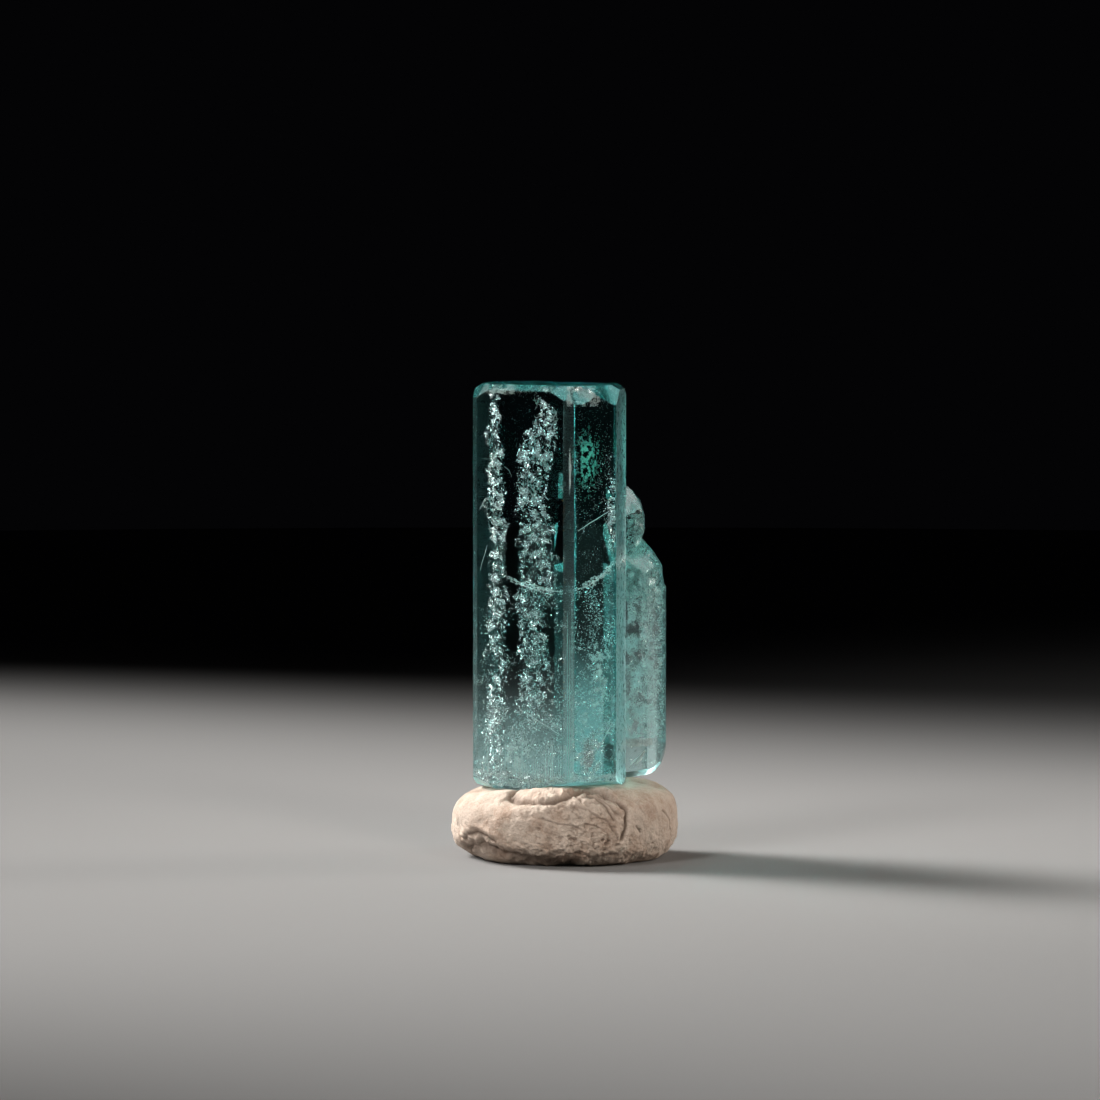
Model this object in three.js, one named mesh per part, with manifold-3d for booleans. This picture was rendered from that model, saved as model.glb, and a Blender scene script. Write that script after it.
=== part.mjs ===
// A vanadium beryl crystal, with a smaller crystal grown along its right side, standing in a pinch of mounting
// putty. Millimetres, +Z up. The origin is the middle of the putty's flat underside, and -Y is the front.
import * as THREE from "three";
import { ConvexGeometry } from "three/addons/geometries/ConvexGeometry.js";
import { mergeVertices } from "three/addons/utils/BufferGeometryUtils.js";
import Module from "manifold-3d";

// Heights shared by the crystal and the putty.
const SEAT = 4.4; // the crystal's base, and the floor of the dent it is pressed into
const CRYSTAL_TOP = 29.13;
const SEAT_GAP = 0.3; // between the crystal's sides and the dent's wall

// The main crystal. Its axis is upright at AXIS, and each upright face is [turn, reach]: the direction that the
// face looks, in degrees round from the front towards +X, and its distance from the axis.
const AXIS = [-0.95, 0];
const BROAD_FACES = [
  [-38, 3.51],
  [22, 5.38],
  [82, 4.57],
  [142, 3.47],
  [202, 5.21],
  [262, 4.6],
];
const CORNER_FACES = [
  [-8, 4.935],
  [52, 5.673],
  [112, 4.555],
  [172, 4.867],
  [232, 5.566],
  [292, 4.474],
];
// Beryl's end faces: low ones over the broad faces and steeper ones over the corners. Each drop is how far down
// its upright face the end face reaches.
const BROAD_END_LIFT = 60;
const BROAD_END_DROPS = [0.36, 0.5, 0.3, 0.34, 0.42, 0.3];
const CORNER_END_LIFT = 45;
const CORNER_END_DROPS = [0.85, 1.15, 0.68, 0.6, 0.9, 0.78];
// The broken lower end: chamfers up the corner faces, and a flat break that lifts the base at its front right:
// [turn, lift, how far from the axis it starts].
const BASE_CHAMFER_LIFT = -52;
const BASE_CHAMFERS = [0.35, 0.3, 0.45, 0.6, 0.4, 0.55];
const BASE_BREAK = [22, -78.4, 2];

// The side crystal. Its axis is upright at SIDE_AXIS, and its faces are as the main crystal's. It rises to a sloping
// shoulder, and a thin skin on its right side ends lower down in a ledge.
const SIDE_AXIS = [4.05, 3.3];
const SIDE_FACES = [
  [22, 1.78],
  [52, 1.66],
  [67, 1.75],
  [82, 1.97],
  [97, 2.1],
  [112, 2.1],
  [142, 2.1],
  [172, 2.4],
  [202, 2.7],
  [262, 2.6],
  [322, 2.4],
];
const SKIN_FACES = [
  [22, 1.82],
  [52, 1.76],
  [67, 1.92],
  [82, 2.14],
  [97, 2.27],
  [112, 2.25],
  [142, 2.02],
  [262, -0.95],
];
const SKIN_TOP = [70, 66, 16.4];
// Its rounded shoulder and foot: [turn, lift, reach] from the point on its axis at the given height.
const SHOULDER_HEIGHT = 16.2;
const SHOULDER = [
  [84, 12, 2.14],
  [80, 27, 2.36],
  [62, 36, 2.46],
  [40, 24, 2.08],
  [84, 48, 2.86],
  [118, 40, 2.5],
  [150, 30, 2.4],
  [190, 42, 2.7],
];
const KNOB_HEIGHT = 20.4;
const KNOB_FACES = [
  [22, 1.6],
  [52, 1.2],
  [82, 0.88],
  [112, 0.9],
  [142, 1.1],
  [172, 1.5],
  [262, 2.4],
];
const KNOB_CAP = [
  [86, 18, 0.98],
  [84, 34, 1.22],
  [50, 44, 1.5],
  [10, 36, 1.75],
  [124, 42, 1.36],
  [160, 52, 1.9],
  [60, 68, 2.35],
  [84, -24, 0.98],
];
const FOOT_HEIGHT = 7.4;
const FOOT = [
  [78, -14, 2.24],
  [74, -34, 2.56],
  [66, -50, 2.72],
  [118, -40, 2.7],
  [30, -62, 2.8],
  [90, -84, 2.73],
];

// The shell-shaped chip out of the front corner's tip: [x, y, z] of a place on the surface, the [turn, lift] that it
// faces, then the radius of the ball that the chip is the print of and how deep it bites.
const TIP_CHIP = [[1.0, -4.85, 28.55], [4, 42], 1.5, 0.3];
const CHIP_ROUNDS = 40;
const CHIP_RINGS = 24;

// The putty: a squeezed ball, cut flat underneath. Each outline row is [turn, reach, rim height].
const WAIST = 2.15; // the height of its widest part
const PUTTY_BELOW = 0.6; // how far the uncut ball would go on below the flat underside
const PUTTY_MIDDLE = 4.72; // its height in the middle, before the crystal dents it
const PUTTY_OUTLINE = [
  [-180, 6.55, 4.75],
  [-135, 6.85, 4.5],
  [-90, 7.08, 4.25],
  [-60, 7.0, 4.3],
  [-34, 6.9, 4.3],
  [-8, 6.82, 5.12],
  [14, 6.78, 5.05],
  [38, 6.85, 5.0],
  [62, 6.95, 4.85],
  [90, 7.02, 4.95],
  [135, 6.8, 4.85],
];
const UPPER_ROUNDNESS = 3.7;
const LOWER_ROUNDNESS = 3;
const PUTTY_ROUNDS = 96;
const PUTTY_RINGS = 40;
// Creases where the putty was folded over: depth and width, then [turn, height] points along each.
const CREASES = [
  {
    depth: 0.45,
    width: 0.34,
    points: [[-38, 4.12], [-25, 3.82], [-17, 3.91], [-10, 4.2], [-1, 4.17], [7, 4.33], [16, 4.51], [24, 4.35]],
  },
  { depth: 0.38, width: 0.34, points: [[24, 4.35], [30, 3.72], [32, 2.91], [32, 1.79]] },
  { depth: 0.22, width: 0.3, points: [[14, 4.0], [22, 3.5], [26, 2.8], [27, 2.1]] },
  { depth: 0.3, width: 0.5, points: [[-62, 1.2], [-48, 1.5], [-30, 1.35], [-12, 1.0], [10, 0.9], [30, 1.1]] },
  { depth: 0.3, width: 0.42, points: [[118, 3.9], [138, 3.4], [160, 3.2], [178, 3.6]] },
  { depth: 0.24, width: 0.4, points: [[-170, 1.5], [-150, 2.1], [-124, 2.5], [-104, 2.3]] },
];

const BIG = 60; // longer than anything here

const wasm = await Module();
wasm.setup();

/** A closed three.js geometry as a manifold-3d solid. */
function toSolid(geometry) {
  const bare = geometry.clone();
  bare.deleteAttribute("normal");
  bare.deleteAttribute("uv");
  const merged = mergeVertices(bare, 1e-4);
  return new wasm.Manifold(
    new wasm.Mesh({
      numProp: 3,
      vertProperties: merged.attributes.position.array,
      triVerts: new Uint32Array(merged.index.array),
    }),
  );
}

/** A manifold-3d solid as a three.js geometry. */
function toGeometry(solid) {
  const mesh = solid.getMesh();
  return new THREE.BufferGeometry()
    .setAttribute("position", new THREE.BufferAttribute(mesh.vertProperties, 3))
    .setIndex(new THREE.BufferAttribute(mesh.triVerts, 1));
}

/** The direction that a face looks: turn degrees round from the front, and lift degrees up. */
function looking(turn, lift = 0) {
  const t = THREE.MathUtils.degToRad(turn);
  const l = THREE.MathUtils.degToRad(lift);
  return new THREE.Vector3(Math.sin(t) * Math.cos(l), -Math.cos(t) * Math.cos(l), Math.sin(l));
}

/** The plane of a face that looks that way and lies reach from the point at. */
function face(turn, lift, reach, at) {
  const normal = looking(turn, lift);
  return { normal, reach: reach + normal.dot(at) };
}

/** The convex solid inside every plane: the hull of the corners where three planes meet. */
function insideOf(planes) {
  const corners = [];
  const cross = new THREE.Vector3();
  for (let i = 0; i < planes.length; i++) {
    for (let j = i + 1; j < planes.length; j++) {
      for (let k = j + 1; k < planes.length; k++) {
        const [a, b, c] = [planes[i], planes[j], planes[k]];
        const volume = a.normal.dot(cross.crossVectors(b.normal, c.normal));
        if (Math.abs(volume) < 1e-6) continue;
        const corner = new THREE.Vector3()
          .addScaledVector(cross, a.reach)
          .addScaledVector(cross.crossVectors(c.normal, a.normal), b.reach)
          .addScaledVector(cross.crossVectors(a.normal, b.normal), c.reach)
          .divideScalar(volume);
        const inside = planes.every((p) => p.normal.dot(corner) < p.reach + 1e-6);
        if (inside && corners.every((p) => p.distanceTo(corner) > 1e-4)) corners.push(corner);
      }
    }
  }
  return toSolid(new ConvexGeometry(corners));
}

/** Upright planes for a crystal's [turn, reach] faces about an axis. */
function uprights(faces, [x, y]) {
  return faces.map(([turn, reach]) => face(turn, 0, reach, new THREE.Vector3(x, y, 0)));
}

/** [turn, reach] faces moved out by an amount, or in by a negative one. */
function resized(faces, amount) {
  return faces.map(([turn, reach]) => [turn, reach + amount]);
}

/** A level plane at a height, looking up or down. */
function level(height, up = true) {
  return face(0, up ? 90 : -90, 0, new THREE.Vector3(0, 0, height));
}

/** End faces that each start drop past an upright face's end at the given height. */
function endFaces(faces, drops, lift, height) {
  return faces.map(([turn, reach], i) => {
    const inward = Math.sign(lift) * drops[i];
    const edge = looking(turn).multiplyScalar(reach);
    return face(turn, lift, 0, edge.add(new THREE.Vector3(...AXIS, height - inward)));
  });
}

/** The main crystal: a twelve-sided prism with beryl's end faces on top and a chamfered base. */
function mainCrystal() {
  const [turn, lift, start] = BASE_BREAK;
  return insideOf([
    ...uprights([...BROAD_FACES, ...CORNER_FACES], AXIS),
    ...endFaces(BROAD_FACES, BROAD_END_DROPS, BROAD_END_LIFT, CRYSTAL_TOP),
    ...endFaces(CORNER_FACES, CORNER_END_DROPS, CORNER_END_LIFT, CRYSTAL_TOP),
    ...endFaces(CORNER_FACES, BASE_CHAMFERS, BASE_CHAMFER_LIFT, SEAT),
    face(turn, lift, 0, looking(turn).multiplyScalar(start).add(new THREE.Vector3(...AXIS, SEAT))),
    level(CRYSTAL_TOP),
    level(SEAT, false),
  ]);
}

/** The smaller crystal on the right: a rounded column with a sloping shoulder, and a knob above it. */
function sideCrystal() {
  const shoulder = new THREE.Vector3(...SIDE_AXIS, SHOULDER_HEIGHT);
  const knob = new THREE.Vector3(...SIDE_AXIS, KNOB_HEIGHT);
  const foot = new THREE.Vector3(...SIDE_AXIS, FOOT_HEIGHT);
  const footFaces = FOOT.map(([turn, lift, reach]) => face(turn, lift, reach, foot));
  const column = insideOf([
    ...uprights(SIDE_FACES, SIDE_AXIS),
    ...SHOULDER.map(([turn, lift, reach]) => face(turn, lift, reach, shoulder)),
    ...footFaces,
    level(CRYSTAL_TOP),
  ]);
  const [turn, lift, height] = SKIN_TOP;
  const ledge = looking(turn).multiplyScalar(SKIN_FACES[2][1]).add(new THREE.Vector3(...SIDE_AXIS, height));
  const skin = insideOf([...uprights(SKIN_FACES, SIDE_AXIS), ...footFaces, face(turn, lift, 0, ledge)]);
  const top = insideOf([
    ...uprights(KNOB_FACES, SIDE_AXIS),
    ...KNOB_CAP.map(([turn, lift, reach]) => face(turn, lift, reach, knob)),
    level(CRYSTAL_TOP),
    level(SHOULDER_HEIGHT, false),
  ]);
  return column.add(skin).add(top);
}

/** The ball that a chip is the print of. */
function chipBall([place, [turn, lift], radius, bite]) {
  const ball = new THREE.SphereGeometry(radius, CHIP_ROUNDS, CHIP_RINGS);
  const middle = looking(turn, lift).multiplyScalar(radius - bite).add(new THREE.Vector3(...place));
  return toSolid(ball.translate(middle.x, middle.y, middle.z));
}

/** Both crystals as the one solid they grew into. */
function crystalSolid() {
  return mainCrystal().add(sideCrystal()).subtract(chipBall(TIP_CHIP));
}

/** A value that runs smoothly round the putty, from the outline rows' column. */
function roundValue(turn, column) {
  const rows = [...PUTTY_OUTLINE, [PUTTY_OUTLINE[0][0] + 360, ...PUTTY_OUTLINE[0].slice(1)]];
  const next = rows.findIndex((row) => row[0] > turn);
  const i = next < 0 ? rows.length - 1 : next;
  const share = THREE.MathUtils.smoothstep(turn, rows[i - 1][0], rows[i][0]);
  return THREE.MathUtils.lerp(rows[i - 1][column], rows[i][column], share);
}

/** The distance from a point to the line between two others, in the plane. */
function distanceTo(point, from, to) {
  const line = to.clone().sub(from);
  const share = THREE.MathUtils.clamp(point.clone().sub(from).dot(line) / line.lengthSq(), 0, 1);
  return point.distanceTo(from.clone().addScaledVector(line, share));
}

/** How deep the creases are at a place on the putty's side. */
function creaseDepth(turn, reach, height) {
  const arc = (degrees, z) => new THREE.Vector2(THREE.MathUtils.degToRad(degrees) * reach, z);
  const here = arc(turn, height);
  let depth = 0;
  for (const crease of CREASES) {
    const line = crease.points.map(([t, z]) => arc(t, z));
    const away = Math.min(...line.slice(1).map((to, i) => distanceTo(here, line[i], to)));
    depth = Math.max(depth, crease.depth * Math.exp(-((away / crease.width) ** 2)));
  }
  return depth;
}

/** A squeezed, folded ball of putty, before the flat underside and the crystal's dent are cut. */
function puttyBall() {
  const ball = new THREE.SphereGeometry(1, PUTTY_ROUNDS, PUTTY_RINGS).rotateX(Math.PI / 2);
  const places = ball.attributes.position;
  for (let i = 0; i < places.count; i++) {
    const at = new THREE.Vector3().fromBufferAttribute(places, i);
    const turn = THREE.MathUtils.radToDeg(Math.atan2(at.x, -at.y));
    const upper = at.z >= 0;
    const round = upper ? UPPER_ROUNDNESS : LOWER_ROUNDNESS;
    const across = Math.hypot(at.x, at.y);
    const swell = (across ** round + Math.abs(at.z) ** round) ** (-1 / round);
    const reach = roundValue(turn, 1);
    const rim = THREE.MathUtils.lerp(PUTTY_MIDDLE, roundValue(turn, 2), across);
    const half = upper ? rim - WAIST : WAIST + PUTTY_BELOW;
    const z = WAIST + at.z * swell * half;
    const out = across * swell * reach - creaseDepth(turn, reach, z) * Math.min(1, across * swell);
    const flat = across > 0 ? out / across : 0;
    places.setXYZ(i, at.x * flat, at.y * flat, z);
  }
  return toSolid(ball);
}

/** The dent that the crystal was pressed into: its outline near the base, a little larger. */
function dent() {
  const ends = [level(CRYSTAL_TOP), level(SEAT, false)];
  const main = insideOf([...uprights(resized([...BROAD_FACES, ...CORNER_FACES], SEAT_GAP), AXIS), ...ends]);
  const side = insideOf([...uprights(resized(SIDE_FACES, SEAT_GAP), SIDE_AXIS), ...ends]);
  return main.add(side);
}

/** The putty with its flat underside and its dent. */
function puttySolid() {
  const floor = new THREE.BoxGeometry(BIG, BIG, BIG).translate(0, 0, -BIG / 2);
  return puttyBall().subtract(toSolid(floor)).subtract(dent());
}

const BERYL = new THREE.MeshStandardMaterial({
  color: 0x6fc2bd,
  roughness: 0.05,
  metalness: 0,
  transparent: true,
  opacity: 0.55,
  flatShading: true,
});
const PUTTY = new THREE.MeshStandardMaterial({ color: 0xd9c4b4, roughness: 0.85, metalness: 0 });

/** A named mesh of a solid. */
function piece(name, solid, material) {
  const mesh = new THREE.Mesh(toGeometry(solid), material);
  mesh.name = name;
  return mesh;
}

const specimen = new THREE.Group();
specimen.name = "vanadium_beryl_specimen";
specimen.add(piece("beryl_crystal", crystalSolid(), BERYL));
specimen.add(piece("mounting_putty", puttySolid(), PUTTY));
export default specimen;
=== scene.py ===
"""A vanadium beryl crystal standing in a pinch of mounting putty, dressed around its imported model.

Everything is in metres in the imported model's own frame: +Z is up along the crystal, -Y is the front, and the
origin is the middle of the putty's flat underside. Lengths written with MM are real sizes in millimetres.
"""

import logging
import math
from dataclasses import dataclass, field
from enum import Enum

import bmesh
import bpy
import numpy as np
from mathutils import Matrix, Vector, noise
from mathutils.bvhtree import BVHTree


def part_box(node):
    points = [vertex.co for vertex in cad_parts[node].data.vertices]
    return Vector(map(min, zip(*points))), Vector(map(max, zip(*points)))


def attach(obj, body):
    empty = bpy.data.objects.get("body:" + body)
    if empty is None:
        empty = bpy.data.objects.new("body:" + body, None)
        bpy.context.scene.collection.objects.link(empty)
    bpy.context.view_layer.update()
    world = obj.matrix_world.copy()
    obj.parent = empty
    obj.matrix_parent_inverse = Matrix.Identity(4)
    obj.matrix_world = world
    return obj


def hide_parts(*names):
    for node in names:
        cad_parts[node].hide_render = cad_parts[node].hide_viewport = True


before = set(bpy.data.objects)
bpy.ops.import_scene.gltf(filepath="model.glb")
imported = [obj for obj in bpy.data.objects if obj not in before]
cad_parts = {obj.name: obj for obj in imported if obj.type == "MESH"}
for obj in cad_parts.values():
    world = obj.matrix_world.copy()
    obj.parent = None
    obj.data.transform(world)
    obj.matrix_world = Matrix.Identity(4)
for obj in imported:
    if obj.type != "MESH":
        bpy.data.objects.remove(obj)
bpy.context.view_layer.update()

MM = 0.001
LOG = logging.getLogger("beryl")


# ---------------------------------------------------------------------------------------------------------------
# Node trees
# ---------------------------------------------------------------------------------------------------------------


class Value:
    """A number socket of a node tree. Arithmetic on it adds Math nodes."""

    def __init__(self, graph: "Graph", socket: bpy.types.NodeSocket) -> None:
        """Wraps a socket.

        Args:
            graph: the tree that the socket is in.
            socket: the output socket.
        """
        self.graph = graph
        self.socket = socket

    def _math(self, operation: str, *terms: "Value | float") -> "Value":
        """A Math node on the terms, in order."""
        node = self.graph.add("ShaderNodeMath", {"operation": operation}, dict(enumerate(terms)))
        return Value(self.graph, node.outputs[0])

    def __add__(self, other: "Value | float") -> "Value":
        """self + other."""
        return self._math("ADD", self, other)

    def __radd__(self, other: float) -> "Value":
        """other + self."""
        return self._math("ADD", other, self)

    def __sub__(self, other: "Value | float") -> "Value":
        """self - other."""
        return self._math("SUBTRACT", self, other)

    def __rsub__(self, other: float) -> "Value":
        """other - self."""
        return self._math("SUBTRACT", other, self)

    def __mul__(self, other: "Value | float") -> "Value":
        """self * other."""
        return self._math("MULTIPLY", self, other)

    def __rmul__(self, other: float) -> "Value":
        """other * self."""
        return self._math("MULTIPLY", other, self)

    def __truediv__(self, other: "Value | float") -> "Value":
        """self / other."""
        return self._math("DIVIDE", self, other)

    def __rtruediv__(self, other: float) -> "Value":
        """other / self."""
        return self._math("DIVIDE", other, self)

    def __pow__(self, other: float) -> "Value":
        """self to the power other."""
        return self._math("POWER", self, other)

    def least(self, other: "Value | float") -> "Value":
        """The smaller of the two."""
        return self._math("MINIMUM", self, other)

    def most(self, other: "Value | float") -> "Value":
        """The larger of the two."""
        return self._math("MAXIMUM", self, other)

    def step(self, start: float, end: float) -> "Value":
        """A smooth step that rises from 0 at start to 1 at end."""
        node = self.graph.add(
            "ShaderNodeMapRange",
            {"interpolation_type": "SMOOTHSTEP"},
            {"Value": self, "From Min": start, "From Max": end, "To Min": 0.0, "To Max": 1.0},
        )
        return Value(self.graph, node.outputs["Result"])


class Graph:
    """Adds nodes and links to one node tree."""

    def __init__(self, tree: bpy.types.NodeTree) -> None:
        """Takes the tree over.

        Args:
            tree: a material's, world's or Geometry Nodes tree.
        """
        self.tree = tree

    def add(self, kind: str, settings: dict | None = None, sockets: dict | None = None) -> bpy.types.Node:
        """A node of any kind.

        Args:
            kind: the node's type name.
            settings: its properties, set first. "stops" holds a ramp's (position, colour) stops.
            sockets: input names or indices, each with a value or a link.

        Returns:
            The node.
        """
        node = self.tree.nodes.new(kind)
        for name, setting in (settings or {}).items():
            if name == "stops":
                self._set_stops(node.color_ramp, setting)
            else:
                setattr(node, name, setting)
        for name, value in (sockets or {}).items():
            source = value.socket if isinstance(value, Value) else value
            if isinstance(source, bpy.types.NodeSocket):
                self.tree.links.new(source, node.inputs[name])
            else:
                node.inputs[name].default_value = source
        return node

    @staticmethod
    def _set_stops(ramp: bpy.types.ColorRamp, stops: list[tuple]) -> None:
        """Puts (position, colour) stops on a ramp."""
        while len(ramp.elements) < len(stops):
            ramp.elements.new(1.0)
        for element, (position, colour) in zip(ramp.elements, stops):
            element.position = position
            element.color = colour

    def value(self, kind: str, settings: dict | None = None, sockets: dict | None = None,
              output: str | int = 0) -> Value:
        """A node's number output, ready for arithmetic."""
        return Value(self, self.add(kind, settings, sockets).outputs[output])

    def place(self, scale: tuple[float, float, float]) -> bpy.types.NodeSocket:
        """Object coordinates multiplied by a scale along each axis."""
        coordinates = self.add("ShaderNodeTexCoord")
        scaled = self.add(
            "ShaderNodeVectorMath",
            {"operation": "MULTIPLY"},
            {0: coordinates.outputs["Object"], 1: scale},
        )
        return scaled.outputs["Vector"]

    def grain(self, size: float | tuple[float, float, float], detail: float = 2.0, rough: float = 0.5) -> Value:
        """Noise whose lumps are about that many millimetres across, from 0 to 1.

        Args:
            size: one size, or one for each axis.
            detail: the number of octaves.
            rough: how strong the finer octaves are.
        """
        sizes = size if isinstance(size, tuple) else (size, size, size)
        scale = tuple(1 / (s * MM) for s in sizes)
        return self.value(
            "ShaderNodeTexNoise",
            {"noise_dimensions": "3D"},
            {"Vector": self.place(scale), "Scale": 1.0, "Detail": detail, "Roughness": rough},
        )

    def blend(self, share: "Value | float", first: tuple | bpy.types.NodeSocket,
              second: tuple | bpy.types.NodeSocket) -> bpy.types.NodeSocket:
        """A colour between two colours.

        Args:
            share: 0 gives the first and 1 the second.
            first: a colour or a link.
            second: a colour or a link.
        """
        node = self.add("ShaderNodeMix", {"data_type": "RGBA"}, {0: share, 6: first, 7: second})
        return node.outputs[2]


def rgba(red: float, green: float, blue: float) -> tuple[float, float, float, float]:
    """A linear colour with full alpha."""
    return (red, green, blue, 1.0)


def new_material(name: str) -> tuple[bpy.types.Material, Graph, bpy.types.Node]:
    """A material that holds only an output.

    Args:
        name: the material's name.

    Returns:
        The material, its graph and its output node.
    """
    material = bpy.data.materials.new(name)
    material.use_nodes = True
    material.node_tree.nodes.clear()
    graph = Graph(material.node_tree)
    return material, graph, graph.add("ShaderNodeOutputMaterial")


# ---------------------------------------------------------------------------------------------------------------
# Finishes
# ---------------------------------------------------------------------------------------------------------------


@dataclass(frozen=True)
class BerylFinish:
    """Clear blue-green beryl, with growth lines down its sides and frosted end faces."""

    ior: float = 1.575
    absorbed: tuple = rgba(0.10, 0.88, 0.88)
    density: float = 95.0
    polish: float = 0.015
    frosted: float = 0.5

    def build(self) -> bpy.types.Material:
        """The material, which reads the mesh's "frost" attribute."""
        material, graph, output = new_material("beryl")
        frost = graph.value("ShaderNodeAttribute", {"attribute_name": "frost"}, output="Fac")
        patches = graph.grain(0.35, 4.0, 0.6)
        roughness = self.polish + self.frosted * frost * (0.55 + 0.9 * patches)
        lines = graph.grain((0.16, 0.16, 9.0), 3.0, 0.6)
        swells = graph.grain((1.1, 1.1, 6.0), 1.0)
        pits = graph.grain(0.09, 2.0, 0.6) * frost
        bump = graph.add(
            "ShaderNodeBump",
            None,
            {"Strength": 0.35, "Distance": 0.02 * MM, "Height": 0.3 * lines + 0.8 * swells + 5.0 * pits},
        )
        glass = graph.add(
            "ShaderNodeBsdfPrincipled",
            None,
            {
                "Base Color": rgba(0.97, 1.0, 0.995),
                "Transmission Weight": 1.0,
                "IOR": self.ior,
                "Roughness": roughness,
                "Normal": bump.outputs["Normal"],
            },
        )
        tint = graph.add("ShaderNodeVolumeAbsorption", None, {"Color": self.absorbed, "Density": self.density})
        graph.tree.links.new(glass.outputs["BSDF"], output.inputs["Surface"])
        graph.tree.links.new(tint.outputs["Volume"], output.inputs["Volume"])
        return material


@dataclass(frozen=True)
class FlakeFinish:
    """The walls of tiny healed cracks inside the crystal, which shine like foil."""

    name: str
    colour: tuple
    metallic: float
    roughness: float

    def build(self) -> bpy.types.Material:
        """The material."""
        material, graph, output = new_material(self.name)
        tone = graph.grain(0.5, 2.0)
        dim = tuple(channel * 0.75 for channel in self.colour[:3]) + (1.0,)
        shader = graph.add(
            "ShaderNodeBsdfPrincipled",
            None,
            {
                "Base Color": graph.blend(tone.step(0.35, 0.65), dim, self.colour),
                "Metallic": self.metallic,
                "Roughness": self.roughness,
            },
        )
        graph.tree.links.new(shader.outputs["BSDF"], output.inputs["Surface"])
        return material


@dataclass(frozen=True)
class PuttyFinish:
    """Kneaded mounting putty: a matt beige, browner where it was handled, with painted shade darkening its creases,
    pits and fine hollows.
    """

    pale: tuple = rgba(0.62, 0.515, 0.43)
    mottle: tuple = rgba(0.41, 0.285, 0.21)
    # The colour of the real dark specks and of the painted shade in creases, pits and hollows.
    dark: tuple = rgba(0.13, 0.085, 0.06)

    def build(self) -> bpy.types.Material:
        """The material, which reads the mesh's "crease" attribute of painted shade."""
        material, graph, output = new_material("putty")
        # The "crease" attribute holds painted shade for creases, pits and hollows of the fine grain, from 0 to 1.
        crease = graph.value("ShaderNodeAttribute", {"attribute_name": "crease"}, output="Fac")
        mottle = graph.grain(1.6, 4.0, 0.6)
        fine = graph.grain(0.12, 3.0, 0.65)
        specks = graph.grain(0.09, 1.0).step(0.70, 0.76)
        base = graph.blend(mottle.step(0.38, 0.72) * 0.7 + 0.3 * fine.step(0.4, 0.65), self.pale, self.mottle)
        # Painted shade in creases, pits and hollows, together with real dark specks, mixed towards the dark colour.
        shaded_and_specked = graph.blend(0.75 * crease + 0.25 * specks, base, self.dark)
        bump = graph.add(
            "ShaderNodeBump",
            None,
            {"Strength": 0.9, "Distance": 0.06 * MM, "Height": fine + 0.8 * graph.grain(0.35, 3.0, 0.6)},
        )
        shader = graph.add(
            "ShaderNodeBsdfPrincipled",
            None,
            {
                "Base Color": shaded_and_specked,
                "Roughness": 0.78 + 0.12 * fine,
                "Specular IOR Level": 0.3,
                "Normal": bump.outputs["Normal"],
            },
        )
        graph.tree.links.new(shader.outputs["BSDF"], output.inputs["Surface"])
        return material


@dataclass(frozen=True)
class FloorFinish:
    """A plain pale matt studio floor."""

    colour: tuple = rgba(0.21, 0.207, 0.204)

    def build(self) -> bpy.types.Material:
        """The material."""
        material, graph, output = new_material("studio_floor")
        shader = graph.add("ShaderNodeBsdfPrincipled", None, {"Base Color": self.colour, "Roughness": 0.85})
        graph.tree.links.new(shader.outputs["BSDF"], output.inputs["Surface"])
        return material


# ---------------------------------------------------------------------------------------------------------------
# Mesh helpers
# ---------------------------------------------------------------------------------------------------------------


def new_object(name: str, mesh: bpy.types.Mesh) -> bpy.types.Object:
    """An object at the origin that shows a mesh."""
    shown = bpy.data.objects.new(name, mesh)
    bpy.context.scene.collection.objects.link(shown)
    return shown


def mesh_from(name: str, points: np.ndarray, faces: list | np.ndarray) -> bpy.types.Mesh:
    """A mesh from points in metres and faces.

    Args:
        name: the mesh's name.
        points: one row of x, y, z for each vertex.
        faces: the vertex numbers of each face.
    """
    mesh = bpy.data.meshes.new(name)
    mesh.from_pydata(points.tolist(), [], [list(map(int, f)) for f in faces])
    mesh.validate()
    return mesh


def looking(turn: float, lift: float = 0.0) -> np.ndarray:
    """The direction turn degrees round from the front towards +X, and lift degrees up."""
    t, l = math.radians(turn), math.radians(lift)
    return np.array([math.sin(t) * math.cos(l), -math.cos(t) * math.cos(l), math.sin(l)])


# ---------------------------------------------------------------------------------------------------------------
# The crystal
# ---------------------------------------------------------------------------------------------------------------


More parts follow.
